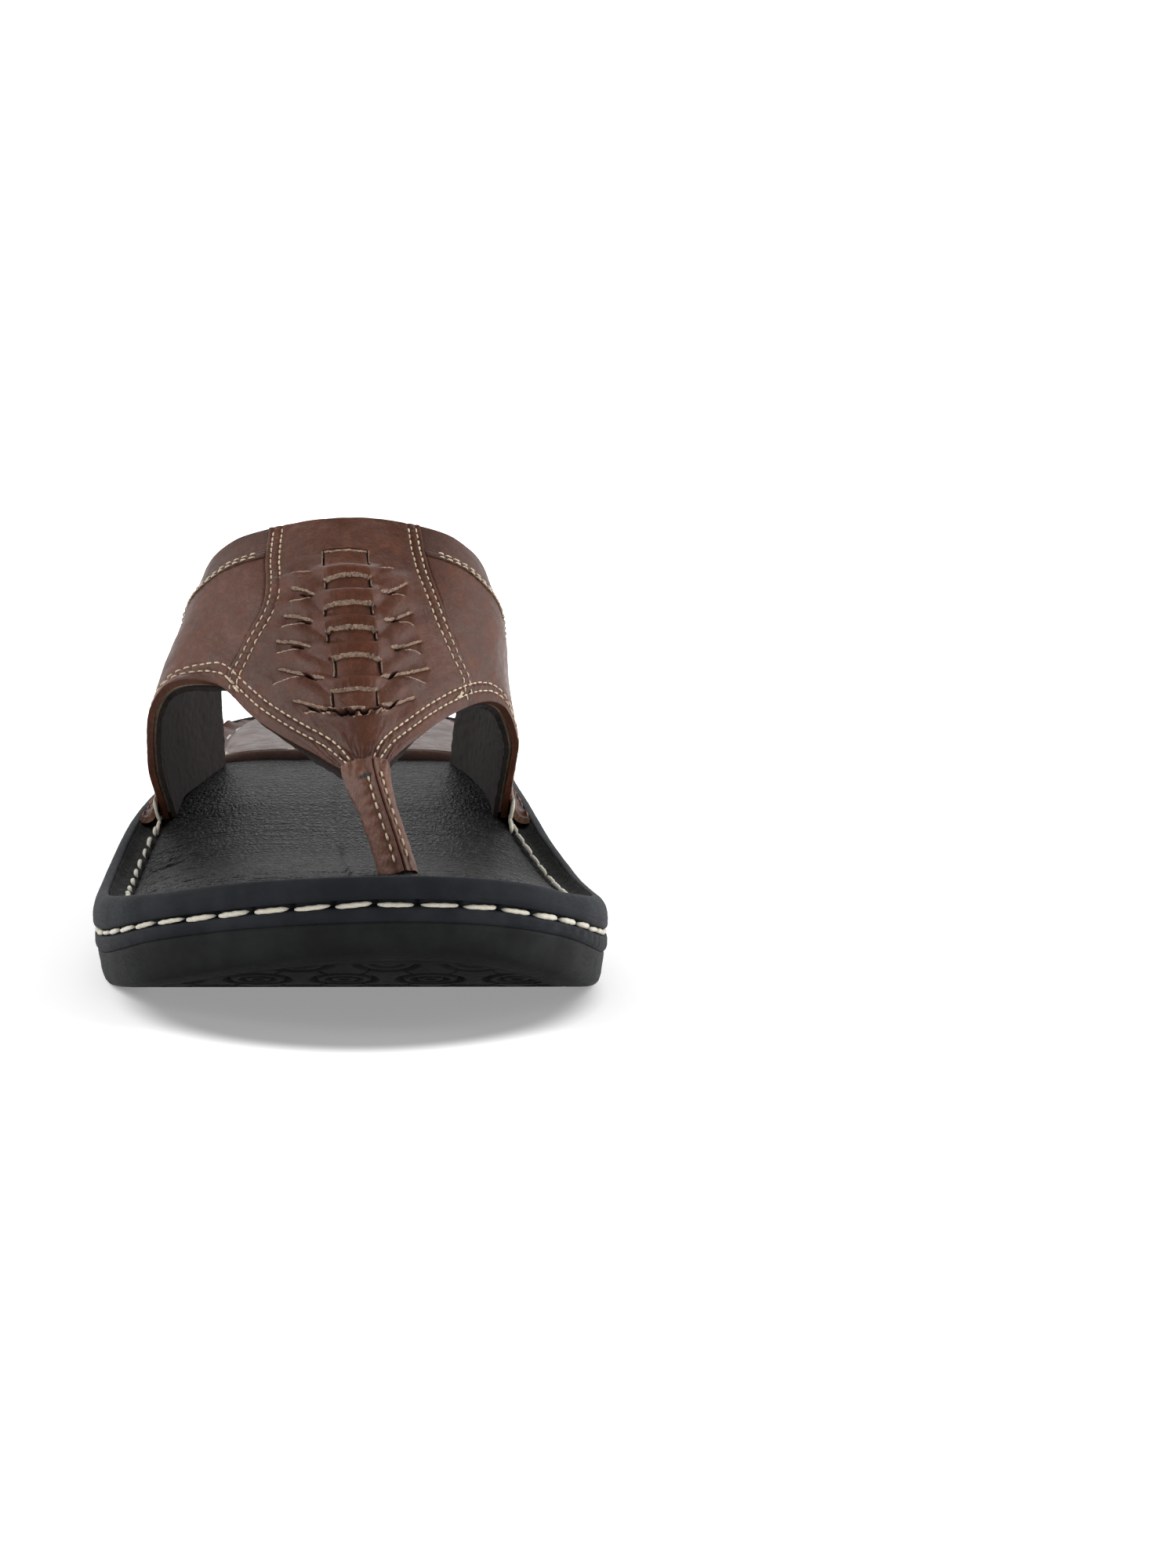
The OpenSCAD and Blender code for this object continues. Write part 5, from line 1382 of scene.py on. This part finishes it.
def build_inner():
    # interlining: hidden layer behind the leather
    sl = lines(200, 0.9, (0.4,)); tl = lines(86, 1.2, (0.4,))
    Sg, Tg = np.meshgrid(0.006 + 0.988*sl, 0.014 + 0.972*tl, indexing="ij")
    P = U(Sg, Tg); N = UN(np.clip(Sg, .002, .998), np.clip(Tg, .002, .998)); P = P + N*sway(Sg, Tg)[..., None]
    V, Q, _, _ = shell(P - N*1.52, P - N*2.2, 2)
    o = mk("upper_interlining", V, Q, None, [M_BACK], sharp=50, attrs={"raw": np.zeros(len(V))}); orient(o)
    piece(o, ["upper_backing"])
    # lining: shows past the front edge beside the post
    m = 420
    s = lines(205, 0.55, (0.2, 0.5))
    tl = lines(90, 0.9, (0.15, 0.4, 0.8))
    Sg, Wg = np.meshgrid(s, tl, indexing="ij")
    X = (Sg - SC)*LS
    jag = 0.55*fbm(X*0.35, 0, 0, 281) + 0.3*fbm(X*1.2, 0, 0, 282)
    ext = 0.35 - 2.2*(1 - sst(2.6, 4.8, np.abs(X))) + 1.35*sst(2.8, 5.2, np.abs(X))*(1 - sst(12, 20, np.abs(X)))*(1 + 0.3*(X < 0)) + jag*(0.35 + 0.65*(np.abs(X) < 20))
    ut = np.linalg.norm(U(Sg, np.full_like(Sg, 0.03)) - U(Sg, np.zeros_like(Sg)), axis=-1)/0.03
    t0 = -np.maximum(ext, -2.4)/ut*0.8
    Tg = t0*(1 - Wg) + 1.001*Wg
    P = U(Sg, Tg); N = UN(np.clip(Sg, .002, .998), np.clip(Tg, .002, .998)); P = P + N*sway(Sg, np.clip(Tg, 0, 1))[..., None]
    q = 0.12*fbm(X*0.5, Tg*30, 0, 283)
    V, Q, _, _ = shell(P - N*2.22, P - N*(3.28 + q[..., None]), 3)
    o = mk("upper_lining_sheet", V, Q, None, [M_LIN], sharp=50, attrs={"raw": np.zeros(len(V))}); orient(o)
    piece(o, ["upper_lining"])


def build_strip():
    """The tongues that show in the six windows."""
    Vs, Qs, R, off = [], [], [], 0
    bu = []
    for k, (top, bot) in enumerate(WIN):
        xl, xr = (-5.7, 5.7) if k == 0 else (top[0][0] + 0.15, top[-1][0] - 0.1)
        xs = xl + 0.32 + (xr - xl - 0.64)*lines(xr - xl - 0.64, 0.3, (0.08, 0.2))
        w = lines(7, 0.2, (0.08, 0.2))
        Xg, Wg = np.meshgrid(xs, w, indexing="ij")
        yt = curve_y(top, Xg)[0] - (1.2 if k == 0 else 0.1); yb = curve_y(bot, Xg)[0] - 0.9
        Yg = yb*(1 - Wg) + yt*Wg
        s, t = SC + Xg/LS, Yg/LT
        P = U(s, t); N = UN(s, t); P = P + N*sway(s, t)[..., None]
        base = h_vamp(s, t)[0]
        hh = base - 0.3 + 0.22*sst(2.2, -0.5, Yg - yb) + 0.09*fbm(Xg*0.3, Yg*0.4, k, 291) + (0.3 if k in (0, 5) else 0.0)
        side = np.minimum(Xg - xl - 0.32, xr - 0.32 - Xg)
        hh = hh + roundoff(side, 0.3)
        V, Q, _, L = shell(P + N*hh[..., None], P + N*(base - 1.05)[..., None], 2)
        Vs.append(V); Qs.append(Q + off); off += len(V)
        # painted shade at the tongue sides, where they run under the window edges
        b = np.zeros(len(V)); b[:s.size] = (0.25*np.exp(-side/0.5)).ravel(); b[2*s.size:] = 0.6; bu.append(b)
        r = np.zeros(len(V)); r[2*s.size:] = 0.0; R.append(r)
    z = np.zeros(off)
    o = mk("weave_tongues", np.concatenate(Vs), np.concatenate(Qs), None, [M_UP], sharp=50,
           attrs={"burnish_and_painted_shade": np.concatenate(bu), "raw": np.concatenate(R), "painted_shade_and_tone": z, "pull": z + 0.15})
    orient(o)
    return piece(o, ["weave_strip"])


def on_upper(s, t, lift=0.0):
    """Points on the outer skin of the upper, wherever they fall."""
    P = U(s, t); N = UN(np.clip(s, .002, .998), np.clip(t, .002, .998)); P = P + N*sway(s, t)[..., None]
    inside = (s > tab(SL, t) - V_EDGE) & (s < tab(SR, t) + V_EDGE)
    hv = h_vamp(s, t)[0]
    hq = 0.1*fbm(s*30, t*13, 0, 261)
    h = np.where(inside, hv, hq) + lift
    return P + N*h[..., None], N


def offset_front(s, w):
    """Parameters of points w mm in from the front edge at s."""
    t = np.zeros_like(s)
    for _ in range(3):
        e = 1e-3
        P = U(s, t); Us = (U(s + e, t) - U(s - e, t))/(2*e); Ut = (U(s, t + e) - U(s, t))/e
        if _ == 0:
            N = UN(np.clip(s, .002, .998), t + 0.004)
            Tn = Us/np.linalg.norm(Us, axis=-1)[..., None]
            D = np.cross(N, Tn); D /= np.linalg.norm(D, axis=-1)[..., None]
            D = np.where((np.sum(D*Ut, -1) < 0)[..., None], -D, D)
            goal = P + D*np.broadcast_to(np.asarray(w, float), s.shape)[:, None]
        dP = goal - P
        a = np.sum(Us*Us, -1); b = np.sum(Us*Ut, -1); c = np.sum(Ut*Ut, -1)
        p = np.sum(dP*Us, -1); q = np.sum(dP*Ut, -1)
        det = a*c - b*b
        s = s + (p*c - q*b)/det; t = t + (a*q - b*p)/det
    return s, t


def build_upper_stitches():
    # both vamp seams, two rows each
    paths = []
    for j, Tn in enumerate((SL, SR)):
        for i, c in enumerate((-0.0046, 0.0046)):
            t = np.linspace(0.035, 0.985, 500); s = tab(Tn, t) + c
            P, N = on_upper(s, t, -0.06)
            paths += along(P, N, 2.0, 1.45, start=0.4 + 0.9*i, seed=301 + 2*j + i)
    stitch_piece("vamp_seam_thread", paths, M_TTH, ["vamp_seam_stitch"], "trim_thread", r=0.19, lift=0.2, dip=0.36, sides=8, rings=9, twist=0.8, seed=303)
    paths = []
    for j in range(2):
        for i, c in enumerate((-0.95, 0.95)):
            u = np.linspace(0.06, 0.955, 500); t = tab(TC, u) + c/LT
            s = u*tab(SL, t) if j == 0 else 1 - u*(1 - tab(SR, t))
            P = U(s, t); N = UN(s, t); P = P + N*(sway(s, t) + 0.22 + 0.08*fbm(s*30, t*14, 0, 271) - (0.1 if c > 0 else 0))[..., None]
            paths += along(P, N, 2.1, 1.5, start=0.5 + 0.8*i, seed=311 + 2*j + i)
    stitch_piece("collar_seam_thread", paths, M_TTH, ["collar_seam_stitch"], "trim_thread", r=0.19, lift=0.2, dip=0.36, sides=8, rings=9, twist=0.8, seed=313)
    paths = []
    for j in range(2):
        for i, w in enumerate((2.5, 4.4)):
            s = np.linspace(0.012, SC - 0.0035, 700)
            if j:
                s = 1 - s*(1 - SC)/SC
            s2, t2 = offset_front(s, w*(0.3 + 0.7*sst(0.0, 12.0, np.abs(s - SC)*LS)))
            ok = (t2 > 0) & ((s2 < SC - 0.002) if j == 0 else (s2 > SC + 0.002))
            s2, t2 = s2[ok], t2[ok]
            P, N = on_upper(s2, t2, -0.15)
            paths += along(P, N, 2.45, 1.85, start=0.6 + 0.7*i, seed=321 + 2*j + i)
    # crossing where the seam rows meet the front rows
    rs = np.random.default_rng(77)
    for sx in (-33.1, 33.0):
        for k in range(6):
            a = rs.uniform(0, math.pi); cx, cy = sx + rs.normal()*0.8 - (0.0 if sx < 0 else 0.0), None
            s0 = SC + cx/LS
            t0 = (offset_front(np.array([s0]), 3.3)[1])[0]
            w = np.linspace(-0.85, 0.85, 7)
            P, N = on_upper(s0 + np.cos(a)*w/LS, t0 + np.sin(a)*w/LT + rs.normal()*0.008, 0.0)
            paths.append((P, N))
    return stitch_piece("front_edge_thread", paths, M_TTH, ["front_edge_stitch"], "trim_thread", r=0.19, lift=0.2, dip=0.36, sides=8, rings=9,
                        twist=0.8, seed=323)


def add_tip_ties():
    return None


# ------------------------------------------------------------------ build everything
build_midsole(); build_outsole(); build_side_stitch()
build_footbed(); build_front_margin(); build_heel_margin()
build_side_margin(-1, "lateral_foot_flare", "lateral_margin"); build_side_margin(1, "medial_foot_flare", "medial_margin")
build_footbed_stitch(); build_heel_pad(); build_post()
build_vamp()
build_quarter(-1, "lateral_quarter_leather", "lateral_quarter"); build_quarter(1, "medial_quarter_leather", "medial_quarter")
build_collar(-1, "lateral_collar_leather", "lateral_collar"); build_collar(1, "medial_collar_leather", "medial_collar")
build_inner(); build_strip(); build_upper_stitches()

# ------------------------------------------------------------------ stage, light, camera
scene = bpy.context.scene
scene.view_settings.view_transform = "Standard"
scene.view_settings.look = "None"
me = bpy.data.meshes.new("floor"); s_ = 6.0
me.from_pydata([(-s_, -s_, -0.0002), (s_, -s_, -0.0002), (s_, s_, -0.0002), (-s_, s_, -0.0002)], [], [(0, 1, 2, 3)])
floor = bpy.data.objects.new("floor", me); scene.collection.objects.link(floor)
fb = NB("floor_white_painted_shadow")
fr = fb.n("ShaderNodeVectorMath", {0: fb.co}, operation="LENGTH").outputs["Value"]
# ellipse in front of the toe for the painted toe shadow
sq = fb.n("ShaderNodeVectorMath", {0: fb.co, 1: (1/0.049, 1/0.076, 0), 2: (-0.003/0.049, 0.093/0.076, 0)}, operation="MULTIPLY_ADD").outputs[0]
painted_toe_shadow = fb.rng(fb.n("ShaderNodeVectorMath", {0: sq}, operation="LENGTH").outputs["Value"], 0.82, 1.02, 1.0, 0.0)   # painted toe shadow
# the floor glows, from 0.22 near the shoe to 1.12 further out; inside the painted toe shadow the base is near black and
# the glow a flat 0.3, a grey patch drawn in place of a cast shadow
em = fb.math("MULTIPLY", fb.rng(fr, 0.2, 0.6, 0.22, 1.12), fb.math("SUBTRACT", 1.0, painted_toe_shadow))
fb.bsdf(Base_Color=fb.mix(painted_toe_shadow, (0.93, 0.93, 0.93), (0.08, 0.08, 0.08)), Roughness=0.9, Specular_IOR_Level=0.0, Emission_Color=(1, 1, 1, 1),
        Emission_Strength=fb.math("ADD", em, fb.math("MULTIPLY", painted_toe_shadow, 0.3)))
me.materials.append(fb.m)
w = bpy.data.worlds.new("studio"); scene.world = w; w.use_nodes = True
wt = w.node_tree; bg = wt.nodes["Background"]; bg.inputs[0].default_value = (1, 1, 1, 1)
geo = wt.nodes.new("ShaderNodeTexCoord"); sep = wt.nodes.new("ShaderNodeSeparateXYZ"); wt.links.new(geo.outputs["Generated"], sep.inputs[0])


def wmap(sock, a, b, c, d):
    nd = wt.nodes.new("ShaderNodeMapRange"); nd.interpolation_type = "SMOOTHSTEP"
    wt.links.new(sock, nd.inputs["Value"])
    for k, x in zip(("From Min", "From Max", "To Min", "To Max"), (a, b, c, d)):
        nd.inputs[k].default_value = x
    return nd.outputs[0]


up_ = wmap(sep.outputs[2], 0.2, 0.75, 1.06, 0.3)          # bright near the horizon, dim overhead
fr_ = wmap(sep.outputs[1], -0.75, 0.1, 0.97, 1.0)
wm = wt.nodes.new("ShaderNodeMath"); wm.operation = "MULTIPLY"
wt.links.new(up_, wm.inputs[0]); wt.links.new(fr_, wm.inputs[1]); wt.links.new(wm.outputs[0], bg.inputs[1])


def area(name, loc, target, size, power, col=(1, 1, 1)):
    l = bpy.data.lights.new(name, "AREA"); l.shape = "RECTANGLE"; l.size, l.size_y = size; l.energy = power; l.color = col
    o = bpy.data.objects.new(name, l); scene.collection.objects.link(o)
    o.location = Vector(loc)
    o.rotation_euler = (Vector(target) - Vector(loc)).to_track_quat("-Z", "Y").to_euler()
    return o


area("left_box", (-1.25, 0.1, 1.05), (0, -0.02, 0.03), (1.0, 1.3), 17.5)
area("right_box", (1.35, 0.12, 0.78), (0, -0.02, 0.03), (1.0, 1.3), 23.0)
area("top_back", (0.0, 1.7, 1.05), (0, 0.0, 0.03), (1.5, 0.5), 9.0)

AZ, EL, DIST, FPX, U0, V0 = math.radians(0.718), math.radians(6.223), 850.335, 4863.146, 449.35, 1005.07
back = np.array([math.sin(AZ)*math.cos(EL), -math.cos(AZ)*math.cos(EL), math.sin(EL)])
Cp = np.array([0, 0, 30.0]) + back*DIST
fw = -back; rt = np.cross(fw, Z3); rt /= np.linalg.norm(rt); up = np.cross(rt, fw)
f2 = fw + rt*(750 - U0)/FPX + up*(V0 - 1000)/FPX; f2 /= np.linalg.norm(f2)
r2 = np.cross(f2, up); r2 /= np.linalg.norm(r2); u2 = np.cross(r2, f2)
cam = bpy.data.cameras.new("photo_camera"); cam.sensor_fit = "VERTICAL"; cam.sensor_height = 36.0; cam.lens = FPX*36/2000
cam.clip_start = 0.05; cam.clip_end = 20
co = bpy.data.objects.new("photo_camera", cam); scene.collection.objects.link(co)
M = Matrix(((r2[0], u2[0], -f2[0], Cp[0]*MM), (r2[1], u2[1], -f2[1], Cp[1]*MM), (r2[2], u2[2], -f2[2], Cp[2]*MM), (0, 0, 0, 1)))
co.matrix_world = M
scene.camera = co
